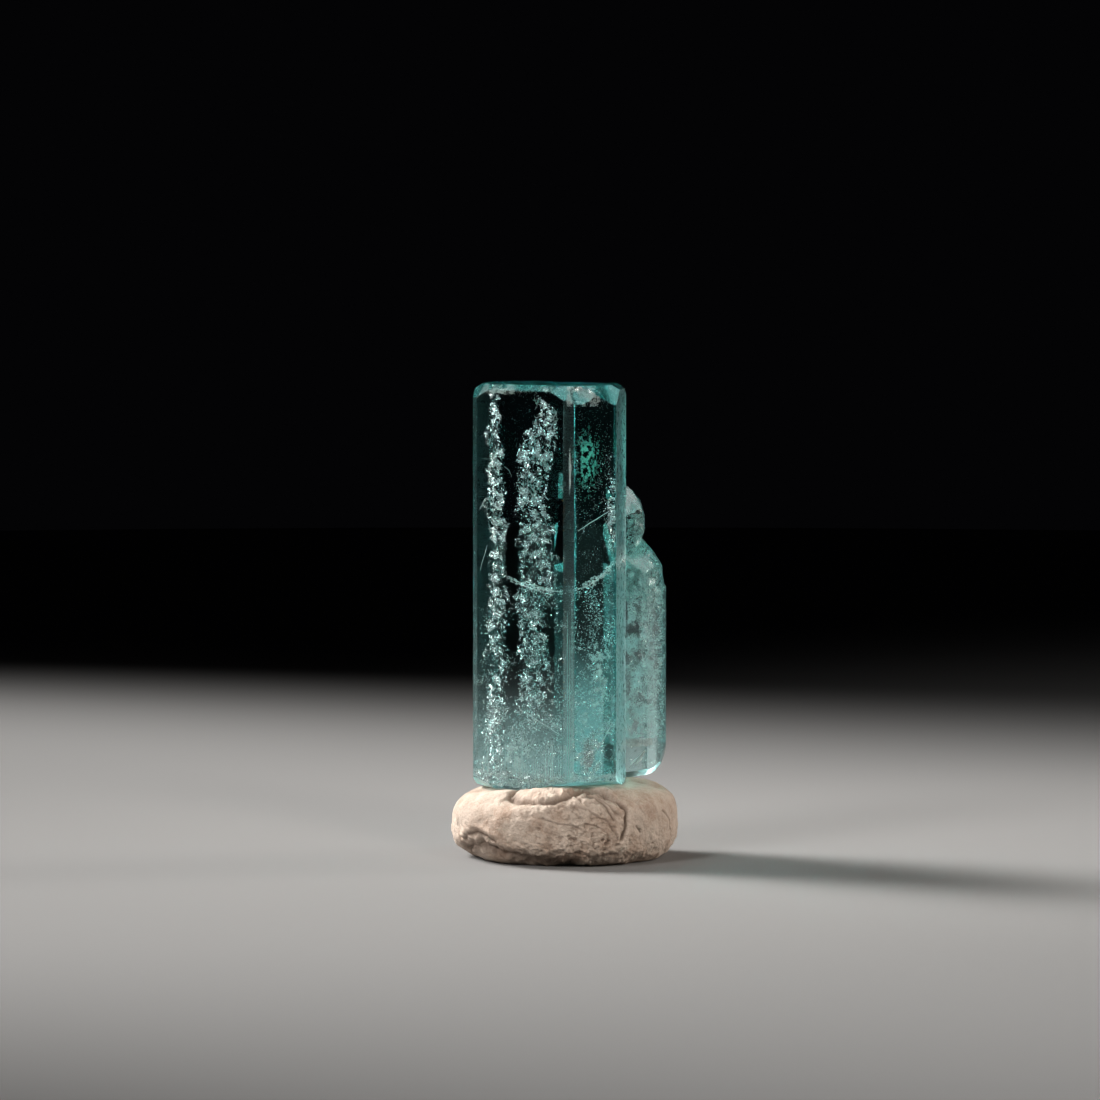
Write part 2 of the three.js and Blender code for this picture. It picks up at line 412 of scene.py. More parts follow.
@dataclass
class Crystal:
    """The crystal's outside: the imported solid, cut into a fine grid and given natural unevenness."""

    node: str = "beryl_crystal"
    grid: float = 0.45 * MM
    fine_grid: float = 0.16 * MM
    top_zone: float = 1.6 * MM
    axis: tuple = (-0.95, 0.0)
    right_face: tuple = (82.0, 4.57)
    etched: float = 0.06 * MM
    sharp: float = 8.0
    wander: float = 0.012 * MM
    front_right_turn: float = 82.0
    side_x: float = 3.9 * MM
    shoulder: float = 16.0 * MM
    chip_area: float = 0.05 * MM**2

    def frost_of(self, normal: Vector, centre: Vector, area: float, top: float, bottom: float) -> float:
        """How frosted a face is, from 0 for clear to 1.

        Args:
            normal: the face's direction.
            centre: its middle.
            area: its area.
            top: the crystal's highest z.
            bottom: the crystal's lowest z.
        """
        if normal.z > 0.97:
            return 0.08
        if area < self.chip_area:
            return 0.12
        if centre.z > top - 1.4 * MM and normal.z > 0.1:
            return 0.14
        if centre.z < bottom + 1.0 * MM and normal.z < -0.1:
            return 0.8
        if centre.x > self.side_x:
            return 0.35
        if abs(normal.z) > 0.03:
            return 0.5
        turn = math.degrees(math.atan2(normal.x, -normal.y))
        if abs(turn - self.front_right_turn) < 4:
            return 0.55
        if abs(turn + 8) < 4 or abs(turn + 68) < 4:
            return 0.45
        if abs(turn - 112) < 4:
            return 0.7
        return 0.0

    def build(self, material: bpy.types.Material) -> bpy.types.Object:
        """The crystal's fine mesh, in place of its node.

        Args:
            material: the beryl.
        """
        form = bmesh.new()
        form.from_mesh(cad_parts[self.node].data)
        bmesh.ops.remove_doubles(form, verts=form.verts, dist=1e-4 * MM)
        bmesh.ops.dissolve_limit(form, angle_limit=math.radians(0.3), verts=form.verts, edges=form.edges)
        for edge in form.edges:
            edge.smooth = edge.is_manifold and edge.calc_face_angle(0.0) < math.radians(self.sharp)
        low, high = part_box(self.node)
        whole = form.faces.layers.float.new("whole_frost")
        for face in form.faces:
            face[whole] = self.frost_of(face.normal, face.calc_center_median(), face.calc_area(), high.z, low.z)
            face.smooth = True
        self._cut(form, low, high)
        layer = form.loops.layers.float.new("frost")
        for face in form.faces:
            for loop in face.loops:
                loop[layer] = face[whole]
        form.faces.layers.float.remove(whole)
        bmesh.ops.triangulate(form, faces=form.faces)
        self._weather(form, low, high)
        mesh = bpy.data.meshes.new("beryl_crystal_surface")
        form.to_mesh(mesh)
        form.free()
        mesh.materials.append(material)
        shown = new_object("beryl_crystal_surface", mesh)
        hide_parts(self.node)
        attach(shown, "root")
        LOG.info("crystal: %d triangles", len(mesh.polygons))
        return shown

    def _cut(self, form: bmesh.types.BMesh, low: Vector, high: Vector) -> None:
        """Cuts every face along level and upright planes, closer together near the top."""
        knob = (self.shoulder - 0.6 * MM, self.shoulder + 5.6 * MM)
        heights = self._stations(low.z, high.z, [knob, (high.z - self.top_zone, high.z)])
        cuts = [((0, 0, z), (0, 0, 1)) for z in heights]
        cuts += [((x, 0, 0), (1, 0, 0)) for x in self._stations(low.x, high.x, [(self.side_x, high.x)])]
        cuts += [((0, y, 0), (0, 1, 0)) for y in self._stations(low.y, high.y, [(0.8 * MM, 5.8 * MM)])]
        for place, direction in cuts:
            geometry = form.verts[:] + form.edges[:] + form.faces[:]
            bmesh.ops.bisect_plane(form, geom=geometry, dist=1e-5 * MM, plane_co=place, plane_no=direction)

    def _stations(self, start: float, stop: float, fine: list) -> list[float]:
        """Places from start to stop, a grid apart, and closer together in the fine spans."""
        places, place = [], start
        while True:
            close = any(low <= place < high for low, high in fine)
            place += self.fine_grid if close else self.grid
            if place > stop - 0.5 * self.fine_grid:
                return places
            places.append(place)

    def _weather(self, form: bmesh.types.BMesh, low: Vector, high: Vector) -> None:
        """Moves each vertex a few thousandths of a millimetre, and more where the smaller crystal is etched."""
        turn, reach = self.right_face
        for vertex in form.verts:
            place = vertex.co / MM
            upright = noise.noise_vector(Vector((place.x * 0.9, place.y * 0.9, place.z * 0.08)))
            beyond = Vector(looking(turn)).dot(place - Vector((*self.axis, 0.0))) - reach
            above = (vertex.co.z - self.shoulder) / MM + 0.6
            etched = min(1.0, max(0.0, beyond / 0.3)) * min(1.0, max(0.0, above / 0.8))
            hollows = noise.noise_vector(place / 0.9) + 0.6 * noise.noise_vector(place / 0.4)
            vertex.co += upright * self.wander + hollows * self.etched * etched
            vertex.co = Vector(np.clip(vertex.co, low, high))


# ---------------------------------------------------------------------------------------------------------------
# What grew inside the crystal
# ---------------------------------------------------------------------------------------------------------------


class Room:
    """The space inside the crystal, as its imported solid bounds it."""

    def __init__(self, node: str) -> None:
        """Reads the solid.

        Args:
            node: the crystal's node.
        """
        form = bmesh.new()
        form.from_mesh(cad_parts[node].data)
        bmesh.ops.remove_doubles(form, verts=form.verts, dist=1e-4 * MM)
        self.tree = BVHTree.FromBMesh(form)
        self.corners = np.array([[vert.co for vert in face.verts] for face in form.faces]) / MM
        self.normals = np.array([face.normal for face in form.faces])
        form.free()

    def holds(self, place: np.ndarray, margin: float) -> bool:
        """Whether a point lies inside, at least the margin from the surface."""
        nearest, normal, _, distance = self.tree.find_nearest(Vector(place))
        return distance > margin and (Vector(place) - nearest).dot(normal) < 0

    def underside(self, x: float, y: float) -> float:
        """The height of the crystal's underside above a place, or infinity beside it."""
        hit = self.tree.ray_cast(Vector((x, y, 0.0)), Vector((0, 0, 1)))[0]
        return hit.z if hit is not None else math.inf


def named_inputs(tree: bpy.types.NodeTree, inputs: dict[str, str]) -> None:
    """Gives a Geometry Nodes tree a geometry input and output, and other named inputs.

    Args:
        tree: the tree.
        inputs: socket types by name.
    """
    tree.interface.new_socket("Geometry", in_out="INPUT", socket_type="NodeSocketGeometry")
    tree.interface.new_socket("Geometry", in_out="OUTPUT", socket_type="NodeSocketGeometry")
    for name, kind in inputs.items():
        tree.interface.new_socket(name, in_out="INPUT", socket_type=kind)


def grown(name: str, base: bpy.types.Mesh, tree: bpy.types.NodeTree, values: dict) -> bpy.types.Mesh:
    """The plain mesh that a Geometry Nodes tree makes from a base mesh.

    Args:
        name: the result's name.
        base: the mesh that it starts from.
        tree: the tree.
        values: its inputs by name.

    Returns:
        The mesh.
    """
    carrier = new_object(name + "_carrier", base)
    modifier = carrier.modifiers.new("grow", "NODES")
    modifier.node_group = tree
    identifiers = {item.name: item.identifier for item in tree.interface.items_tree if item.in_out == "INPUT"}
    for label, value in values.items():
        modifier[identifiers[label]] = value
    graph = bpy.context.evaluated_depsgraph_get()
    mesh = bpy.data.meshes.new_from_object(carrier.evaluated_get(graph))
    mesh.name = name
    bpy.data.objects.remove(carrier)
    return mesh


def flake_tree() -> bpy.types.NodeTree:
    """The tree that sets a small flake on every point of a mesh, turned and sized at random."""
    tree = bpy.data.node_groups.new("set_flakes", "GeometryNodeTree")
    named_inputs(tree, {
        "Facing": "NodeSocketVector",
        "Tumble": "NodeSocketVector",
        "Smallest": "NodeSocketVector",
        "Largest": "NodeSocketVector",
        "Corners": "NodeSocketInt",
        "Seed": "NodeSocketInt",
        "Material": "NodeSocketMaterial",
    })
    graph = Graph(tree)
    given = graph.add("NodeGroupInput").outputs
    dice = graph.add(
        "FunctionNodeRandomValue", {"data_type": "FLOAT_VECTOR"},
        {0: (-1.0, -1.0, -1.0), 1: (1.0, 1.0, 1.0), "Seed": given["Seed"]},
    )
    turns = graph.add("ShaderNodeVectorMath", {"operation": "MULTIPLY"},
                      {0: dice.outputs[0], 1: given["Tumble"]})
    facing = graph.add("FunctionNodeEulerToRotation", None, {0: given["Facing"]})
    local = graph.add("FunctionNodeEulerToRotation", None, {0: turns.outputs["Vector"]})
    rotation = graph.add("FunctionNodeRotateRotation", {"rotation_space": "LOCAL"},
                         {"Rotation": facing.outputs[0], "Rotate By": local.outputs[0]})
    sizes = graph.add(
        "FunctionNodeRandomValue", {"data_type": "FLOAT_VECTOR"},
        {0: given["Smallest"], 1: given["Largest"], "Seed": Value(graph, given["Seed"]) + 1},
    )
    flake = graph.add("GeometryNodeMeshCone", {"fill_type": "NGON"},
                      {"Vertices": given["Corners"], "Radius Top": 0.0, "Radius Bottom": 1.0, "Depth": 1.0})
    strewn = graph.add(
        "GeometryNodeInstanceOnPoints", None,
        {"Points": given["Geometry"], "Instance": flake.outputs["Mesh"], "Rotation": rotation.outputs[0],
         "Scale": sizes.outputs[0]},
    )
    real = graph.add("GeometryNodeRealizeInstances", None, {"Geometry": strewn.outputs["Instances"]})
    done = graph.add("GeometryNodeSetMaterial", None, {"Geometry": real.outputs[0], "Material": given["Material"]})
    graph.add("NodeGroupOutput", None, {"Geometry": done.outputs["Geometry"]})
    return tree


def veil_tree() -> bpy.types.NodeTree:
    """The tree that crumples a sheet, eats holes in it and closes what is left into thin flakes.

    The sheet's "fill" attribute says how much of it is left, from 0 to 1.
    """
    tree = bpy.data.node_groups.new("crumple_veil", "GeometryNodeTree")
    named_inputs(tree, {
        "Crumple": "NodeSocketFloat",
        "Crumple Size": "NodeSocketFloat",
        "Shingle": "NodeSocketFloat",
        "Shingle Size": "NodeSocketFloat",
        "Inward": "NodeSocketVector",
        "Hole Size": "NodeSocketFloat",
        "Thickness": "NodeSocketFloat",
        "Seed": "NodeSocketInt",
        "Material": "NodeSocketMaterial",
    })
    graph = Graph(tree)
    given = graph.add("NodeGroupInput").outputs
    place = graph.add("GeometryNodeInputPosition").outputs["Position"]
    coarse = graph.add(
        "ShaderNodeTexNoise", {"noise_dimensions": "4D", "normalize": False},
        {"Vector": place, "W": given["Seed"], "Scale": 1.0 / Value(graph, given["Crumple Size"]), "Detail": 3.0,
         "Roughness": 0.55},
    )
    offset = graph.add("ShaderNodeVectorMath", {"operation": "SCALE"},
                       {0: coarse.outputs["Color"], "Scale": given["Crumple"]})
    axes = graph.add("ShaderNodeSeparateXYZ", None, {0: place})
    uneven = graph.value(
        "ShaderNodeTexNoise", {"noise_dimensions": "4D"},
        {"Vector": place, "W": given["Seed"], "Scale": 0.4 / Value(graph, given["Shingle Size"])},
    )
    turns = Value(graph, axes.outputs["Z"]) / Value(graph, given["Shingle Size"]) + 5.0 * uneven
    lean = graph.value("ShaderNodeMath", {"operation": "FRACT"}, {0: turns}) * Value(graph, given["Shingle"])
    leaning = graph.add("ShaderNodeVectorMath", {"operation": "SCALE"}, {0: given["Inward"], "Scale": lean})
    both = graph.add("ShaderNodeVectorMath", {"operation": "ADD"},
                     {0: offset.outputs["Vector"], 1: leaning.outputs["Vector"]})
    moved = graph.add("GeometryNodeSetPosition", None,
                      {"Geometry": given["Geometry"], "Offset": both.outputs["Vector"]})
    gaps = graph.value(
        "ShaderNodeTexNoise", {"noise_dimensions": "4D"},
        {"Vector": place, "W": given["Seed"], "Scale": 1.0 / Value(graph, given["Hole Size"]), "Detail": 5.0,
         "Roughness": 0.68},
    )
    fill = graph.value("GeometryNodeInputNamedAttribute", {"data_type": "FLOAT"}, {"Name": "fill"})
    empty = gaps - (0.28 + 0.30 * fill)
    chosen = graph.add("FunctionNodeCompare", {"data_type": "FLOAT", "operation": "GREATER_THAN"},
                       {0: empty, 1: 0.0})
    holed = graph.add("GeometryNodeDeleteGeometry", {"domain": "FACE"},
                      {"Geometry": moved.outputs["Geometry"], "Selection": chosen.outputs[0]})
    raised = graph.add("GeometryNodeExtrudeMesh", {"mode": "FACES"},
                       {"Mesh": holed.outputs[0], "Offset Scale": given["Thickness"], "Individual": False})
    back = graph.add("GeometryNodeFlipFaces", None, {"Mesh": holed.outputs[0]})
    joined = graph.add("GeometryNodeJoinGeometry")
    tree.links.new(raised.outputs["Mesh"], joined.inputs[0])
    tree.links.new(back.outputs["Mesh"], joined.inputs[0])
    merged = graph.add("GeometryNodeMergeByDistance", None,
                       {"Geometry": joined.outputs[0], "Distance": 1e-4 * MM})
    done = graph.add("GeometryNodeSetMaterial", None, {"Geometry": merged.outputs[0],
                                                       "Material": given["Material"]})
    graph.add("NodeGroupOutput", None, {"Geometry": done.outputs["Geometry"]})
    return tree


def thread_tree() -> bpy.types.NodeTree:
    """The tree that turns lines of edges into closed thin threads that waver a little."""
    tree = bpy.data.node_groups.new("draw_threads", "GeometryNodeTree")
    named_inputs(tree, {
        "Radius": "NodeSocketFloat",
        "Waver": "NodeSocketFloat",
        "Waver Size": "NodeSocketFloat",
        "Seed": "NodeSocketInt",
        "Material": "NodeSocketMaterial",
    })
    graph = Graph(tree)
    given = graph.add("NodeGroupInput").outputs
    curve = graph.add("GeometryNodeMeshToCurve", None, {"Mesh": given["Geometry"]})
    place = graph.add("GeometryNodeInputPosition").outputs["Position"]
    wander = graph.add(
        "ShaderNodeTexNoise", {"noise_dimensions": "4D", "normalize": False},
        {"Vector": place, "W": given["Seed"], "Scale": 1.0 / Value(graph, given["Waver Size"]), "Detail": 2.0},
    )
    offset = graph.add("ShaderNodeVectorMath", {"operation": "SCALE"},
                       {0: wander.outputs["Color"], "Scale": given["Waver"]})
    moved = graph.add("GeometryNodeSetPosition", None,
                      {"Geometry": curve.outputs[0], "Offset": offset.outputs["Vector"]})
    share = Value(graph, graph.add("GeometryNodeSplineParameter").outputs["Factor"])
    thick = graph.value(
        "ShaderNodeTexNoise", {"noise_dimensions": "4D"},
        {"Vector": place, "W": given["Seed"], "Scale": 4.0 / Value(graph, given["Waver Size"])},
    )
    taper = (share * (1 - share) * 4) ** 0.5
    radius = Value(graph, given["Radius"]) * (0.15 + taper * (0.35 + thick))
    profile = graph.add("GeometryNodeCurvePrimitiveCircle", {"mode": "RADIUS"}, {"Resolution": 4, "Radius": 1.0})
    solid = graph.add(
        "GeometryNodeCurveToMesh", None,
        {"Curve": moved.outputs["Geometry"], "Profile Curve": profile.outputs["Curve"], "Scale": radius,
         "Fill Caps": True},
    )
    done = graph.add("GeometryNodeSetMaterial", None, {"Geometry": solid.outputs["Mesh"],
                                                       "Material": given["Material"]})
    graph.add("NodeGroupOutput", None, {"Geometry": done.outputs["Geometry"]})
    return tree


@dataclass(frozen=True)
class Window:
    """A front face of the crystal, with the places that are seen through it.

    A place is [along, height, depth] in millimetres: along the face from its left edge, up from the floor, and
    into the crystal along the line of sight of someone in front.
    """

    corner: tuple
    turn: float
    sight: tuple

    def at(self, along: float, height: float, depth: float) -> np.ndarray:
        """A place in the crystal, in millimetres."""
        run = looking(self.turn + 90)
        foot = np.array([*self.corner, 0.0])
        return foot + along * run + np.array([0, 0, height]) + depth * np.array(self.sight)


class Side(Enum):
    """The crystal's front faces, from left to right, and the whole of it as seen from the front."""

    LEFT = Window((-5.32, -1.03), -38, (0.256, 0.966, -0.043))
    EDGE = Window((-0.14, -5.08), -8, (0.053, 0.998, -0.043))
    RIGHT = Window((0.47, -5.23), 22, (-0.139, 0.989, -0.043))
    WHOLE = Window((0.0, 0.0), 0, (0.0, 1.0, 0.0))


@dataclass
class Sheet:
    """A thin ragged sheet inside the crystal. Its rows are [height, from, to, depth, fill] behind a face."""

    name: str
    side: Side
    material: str
    rows: list
    cell: float = 0.055
    crumple: float = 0.16
    crumple_size: float = 0.32
    hole_size: float = 0.42
    shingle: float = 0.0
    shingle_size: float = 0.3
    thickness: float = 0.008
    bow: float = 0.25
    sway: float = 0.0
    seed: int = 1

    def __post_init__(self) -> None:
        """Keeps the rows as numbers, lowest first."""
        self.table = np.array(self.rows, float)[::-1]

    def span(self) -> tuple[float, float]:
        """The sheet's lowest and highest height."""
        return self.table[0, 0], self.table[-1, 0]

    def row(self, height: float) -> np.ndarray:
        """The sheet's row at a height."""
        return np.array([np.interp(height, self.table[:, 0], column) for column in self.table.T])

    def spot(self, part: float, row: np.ndarray) -> np.ndarray:
        """A place on the sheet before it is crumpled, a part of the way across one of its rows."""
        height, start, end, depth, _ = row
        bow = self.bow * (noise.noise(Vector((part * 1.7, height * 0.45, self.seed))) + 0.3 * part)
        sway = self.sway * noise.noise(Vector((3.1, height * 0.9, self.seed)))
        return self.side.value.at(start + part * (end - start) + sway, height, depth + bow)

    def grid(self) -> bpy.types.Mesh:
        """The sheet before it is crumpled, as square cells that know their fill."""
        rows = np.array(self.rows, float)
        steps = np.linalg.norm(np.diff(rows[:, :2], axis=0), axis=1).cumsum()
        steps = np.concatenate([[0.0], steps])
        count = max(2, int(steps[-1] / self.cell))
        share = np.linspace(0, steps[-1], count)
        rows = np.stack([np.interp(share, steps, rows[:, k]) for k in range(5)], -1)
        columns = max(3, int(np.abs(rows[:, 2] - rows[:, 1]).max() / self.cell))
        parts = np.linspace(0, 1, columns)
        points = [self.spot(part, row) for row in rows for part in parts]
        fills = [row[4] * (1 - abs(2 * part - 1) ** 4) for row in rows for part in parts]
        corners = [(r * columns + c, r * columns + c + 1, (r + 1) * columns + c + 1, (r + 1) * columns + c)
                   for r in range(count - 1) for c in range(columns - 1)]
        mesh = mesh_from(self.name + "_grid", np.array(points) * MM, corners)
        layer = mesh.attributes.new("fill", "FLOAT", "POINT")
        layer.data.foreach_set("value", np.array(fills, np.float32))
        return mesh


@dataclass
class Flakes:
    """Many small flakes of one kind. Sizes are [across, across, thick] in millimetres, facing is [turn, lift].

    They gather where a noise of the clump's size is above the clump value, and the seeds of two kinds that gather
    in the same places are a whole number of hundreds apart.
    """

    name: str
    material: str
    count: int
    smallest: tuple
    largest: tuple
    facing: tuple = (0.0, 0.0)
    tumble: float = 180.0
    corners: int = 3
    clump: float = -1.0
    clump_size: float | tuple = 0.8
    soft: float = 0.25
    seed: int = 1

    def ready(self, room: Room) -> None:
        """Called before the first place is tried, to look at the crystal's solid; here it does nothing."""

    def try_place(self, dice: np.random.Generator) -> np.ndarray:
        """A place where a flake may be, in millimetres."""
        raise NotImplementedError

    def places(self, room: Room) -> np.ndarray:
        """Where the flakes are, in millimetres: in clumps, and none of them out of the crystal.

        Args:
            room: the crystal's solid.
        """
        self.ready(room)
        dice = np.random.default_rng(self.seed)
        offset = Vector((self.seed % 100, 0, 0))
        kept = []
        for _ in range(self.count * 14):
            if len(kept) == self.count:
                break
            place = self.try_place(dice)
            lumps = noise.fractal(Vector(place / np.array(self.clump_size)) + offset, 0.6, 2.0, 4)
            if lumps < self.clump - self.soft * dice.random():
                continue
            if room.holds(place * MM, (max(self.largest) + 0.01) * MM):
                kept.append(place)
        return np.array(kept)


@dataclass
class Cloud(Flakes):
    """Flakes gathered round a place: [along, height, depth] of its middle and its reach each way, in mm."""

    side: Side = Side.WHOLE
    middle: tuple = (0.0, 0.0, 0.0)
    reach: tuple = (1.0, 1.0, 1.0)
    even: bool = False

    def try_place(self, dice: np.random.Generator) -> np.ndarray:
        """A place in the cloud."""
        offset = dice.uniform(-1, 1, 3) if self.even else dice.normal(0, 0.5, 3)
        return self.side.value.at(*(np.array(self.middle) + offset * np.array(self.reach)))


@dataclass
class Shards(Flakes):
    """Flakes that lie on a sheet, most of them where it is full."""

    sheet: Sheet | None = None
    depth: float = 0.25

    def try_place(self, dice: np.random.Generator) -> np.ndarray:
        """A place on the sheet or a little in front of it or behind it."""
        while True:
            row = self.sheet.row(dice.uniform(*self.sheet.span()))
            if dice.random() < row[4]:
                near = self.sheet.spot(dice.beta(2.0, 2.0) * 1.2 - 0.1, row)
                return near + np.array(self.sheet.side.value.sight) * self.depth * dice.normal()


@dataclass
class Skin(Flakes):
    """Flakes just under the crystal's surface in a box, where it has one of the slopes and, if given, of the turns."""

    turns: tuple = ()
    slope: tuple = (-0.1, 0.1)
    low: tuple = (-9.0, -9.0, 0.0)
    high: tuple = (9.0, 9.0, 30.0)
    near: float = 0.04
    far: float = 0.2

    def ready(self, room: Room) -> None:
        """Picks the triangles that the flakes lie under."""
        turns = np.degrees(np.arctan2(room.normals[:, 0], -room.normals[:, 1]))
        chosen = (room.corners.max(1) > self.low).all(1) & (room.corners.min(1) < self.high).all(1)
        chosen &= (room.normals[:, 2] > self.slope[0]) & (room.normals[:, 2] < self.slope[1])
        if self.turns:
            chosen &= (np.abs(turns[:, None] - np.array(self.turns)) < 4).any(1)
        self.triangles, self.normals = room.corners[chosen], room.normals[chosen]
        spans = self.triangles[:, 1:] - self.triangles[:, :1]
        areas = np.linalg.norm(np.cross(spans[:, 0], spans[:, 1]), axis=1)
        self.shares = areas.cumsum() / areas.sum()

    def try_place(self, dice: np.random.Generator) -> np.ndarray:
        """A place under one of the triangles."""
        while True:
            which = int(np.searchsorted(self.shares, dice.random(), side="right"))
            weights = dice.dirichlet((1, 1, 1))
            place = weights @ self.triangles[which] - self.normals[which] * dice.uniform(self.near, self.far)
            if (place > self.low).all() and (place < self.high).all():
                return place


@dataclass
class Thread:
    """Fine lines in the crystal, each a list of [along, height, depth] places behind a face."""

    name: str
    side: Side
    material: str
    lines: list
    radius: float = 0.02
    waver: float = 0.04
    waver_size: float = 0.8
    step: float = 0.12
    seed: int = 1

    def mesh(self) -> bpy.types.Mesh:
        """The lines as edges."""
        points, edges = [], []
        for line in self.lines:
            stops = [self.side.value.at(*place) for place in line]
            for start, end in zip(stops[:-1], stops[1:]):
                count = max(1, int(np.linalg.norm(end - start) / self.step))
                fresh = [start + (end - start) * k / count for k in range(count)]
                edges += [(len(points) + k, len(points) + k + 1) for k in range(count)]
                points += fresh
            points.append(stops[-1])
        mesh = bpy.data.meshes.new(self.name + "_lines")
        mesh.from_pydata([tuple(p * MM) for p in points], edges, [])
        return mesh


@dataclass
class Inclusions:
    """Everything inside the crystal: veils, dust, threads, cracks and rust specks."""

    room: Room
    materials: dict

    def build(self) -> None:
        """All of them."""
        flakes, veils, threads = flake_tree(), veil_tree(), thread_tree()
        for sheet in self.sheets():
            self._show(grown(sheet.name, sheet.grid(), veils, {
                "Crumple": sheet.crumple * MM,
                "Crumple Size": sheet.crumple_size * MM,
                "Shingle": sheet.shingle * MM,
                "Shingle Size": sheet.shingle_size * MM,
                "Inward": sheet.side.value.sight,
                "Hole Size": sheet.hole_size * MM,
                "Thickness": sheet.thickness * MM,
                "Seed": sheet.seed,
                "Material": self.materials[sheet.material],
            }))
        for cloud in self.clouds():
            base = bpy.data.meshes.new(cloud.name + "_places")
            base.from_pydata((cloud.places(self.room) * MM).tolist(), [], [])
            turn, lift = cloud.facing
            self._show(grown(cloud.name, base, flakes, {
                "Facing": (math.radians(-90 - lift), 0.0, math.radians(turn)),
                "Tumble": (math.radians(cloud.tumble), math.radians(cloud.tumble), math.pi),
                "Smallest": tuple(v * MM for v in cloud.smallest),
                "Largest": tuple(v * MM for v in cloud.largest),
                "Corners": cloud.corners,
                "Seed": cloud.seed,
                "Material": self.materials[cloud.material],
            }))
        for thread in self.threads():
            self._show(grown(thread.name, thread.mesh(), threads, {
                "Radius": thread.radius * MM,
                "Waver": thread.waver * MM,
                "Waver Size": thread.waver_size * MM,
                "Seed": thread.seed,
                "Material": self.materials[thread.material],
            }))

    def _show(self, mesh: bpy.types.Mesh) -> None:
        """Shows a mesh that rides with the crystal."""
        shown = new_object(mesh.name, mesh)
        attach(shown, "root")
        LOG.info("%s: %d faces", mesh.name, len(mesh.polygons))

    LEFT_VEIL = [
        [29.0, 0.93, 1.71, 1.2, 0.20], [28.1, 0.85, 1.55, 1.2, 0.45], [26.2, 0.78, 1.78, 1.2, 0.75],
        [23.9, 0.85, 1.94, 1.2, 0.70], [21.8, 0.78, 2.17, 1.2, 0.85], [19.0, 0.85, 2.17, 1.2, 0.80],
        [15.9, 0.78, 2.17, 1.2, 0.85], [12.9, 0.85, 2.09, 1.2, 0.80], [9.8, 0.78, 2.09, 1.2, 0.80],
        [7.3, 0.93, 2.02, 1.2, 0.60], [5.8, 1.08, 1.86, 1.2, 0.40],
    ]
    MIDDLE_VEIL = [
        [28.6, 4.03, 4.65, 1.7, 0.20], [27.6, 5.00, 6.12, 1.7, 0.60], [26.8, 4.26, 6.20, 1.7, 0.75],
        [25.9, 3.56, 6.04, 1.7, 0.90], [24.9, 3.33, 5.81, 1.7, 0.95], [23.4, 3.25, 5.42, 1.7, 0.70],
        [21.5, 3.10, 5.42, 1.7, 0.95], [20.0, 3.25, 5.74, 1.7, 0.90], [18.8, 3.18, 6.04, 1.7, 0.95],
        [16.9, 3.25, 5.81, 1.7, 0.90], [15.4, 3.10, 5.19, 1.7, 0.60], [13.0, 3.25, 5.42, 1.7, 0.85],
        [10.5, 3.33, 5.35, 1.7, 0.85], [9.2, 3.41, 5.12, 1.7, 0.60], [8.2, 3.72, 4.80, 1.7, 0.40],
    ]

    def sheets(self) -> list[Sheet]:
        """The white band and the cracks."""
        return [
            Sheet("side_white_band", Side.WHOLE, "powder", [
                [7.1, 3.3, 5.4, 2.1, 0.9], [6.9, 3.3, 5.45, 2.1, 1.1], [6.65, 3.4, 5.4, 2.1, 0.9],
            ], 0.05, 0.1, 0.3, 0.3, shingle=0.1, seed=34),
            Sheet("crack_left", Side.LEFT, "powder", [
                [17.45, 2.3, 2.5, 0.5, 0.6], [17.1, 2.4, 3.6, 0.8, 0.8], [16.8, 3.4, 6.4, 0.9, 0.7],
                [16.5, 4.2, 6.4, 1.1, 0.3],
            ], 0.05, 0.12, 0.3, 0.12, seed=38),
            Sheet("crack_right", Side.RIGHT, "powder", [
                [18.7, 2.7, 2.9, 0.4, 0.7], [17.7, 1.6, 2.5, 0.6, 0.75], [17.0, 0.1, 1.6, 0.7, 0.8],
                [16.7, 0.1, 1.2, 0.8, 0.3],
            ], 0.05, 0.12, 0.3, 0.12, seed=39),
        ]

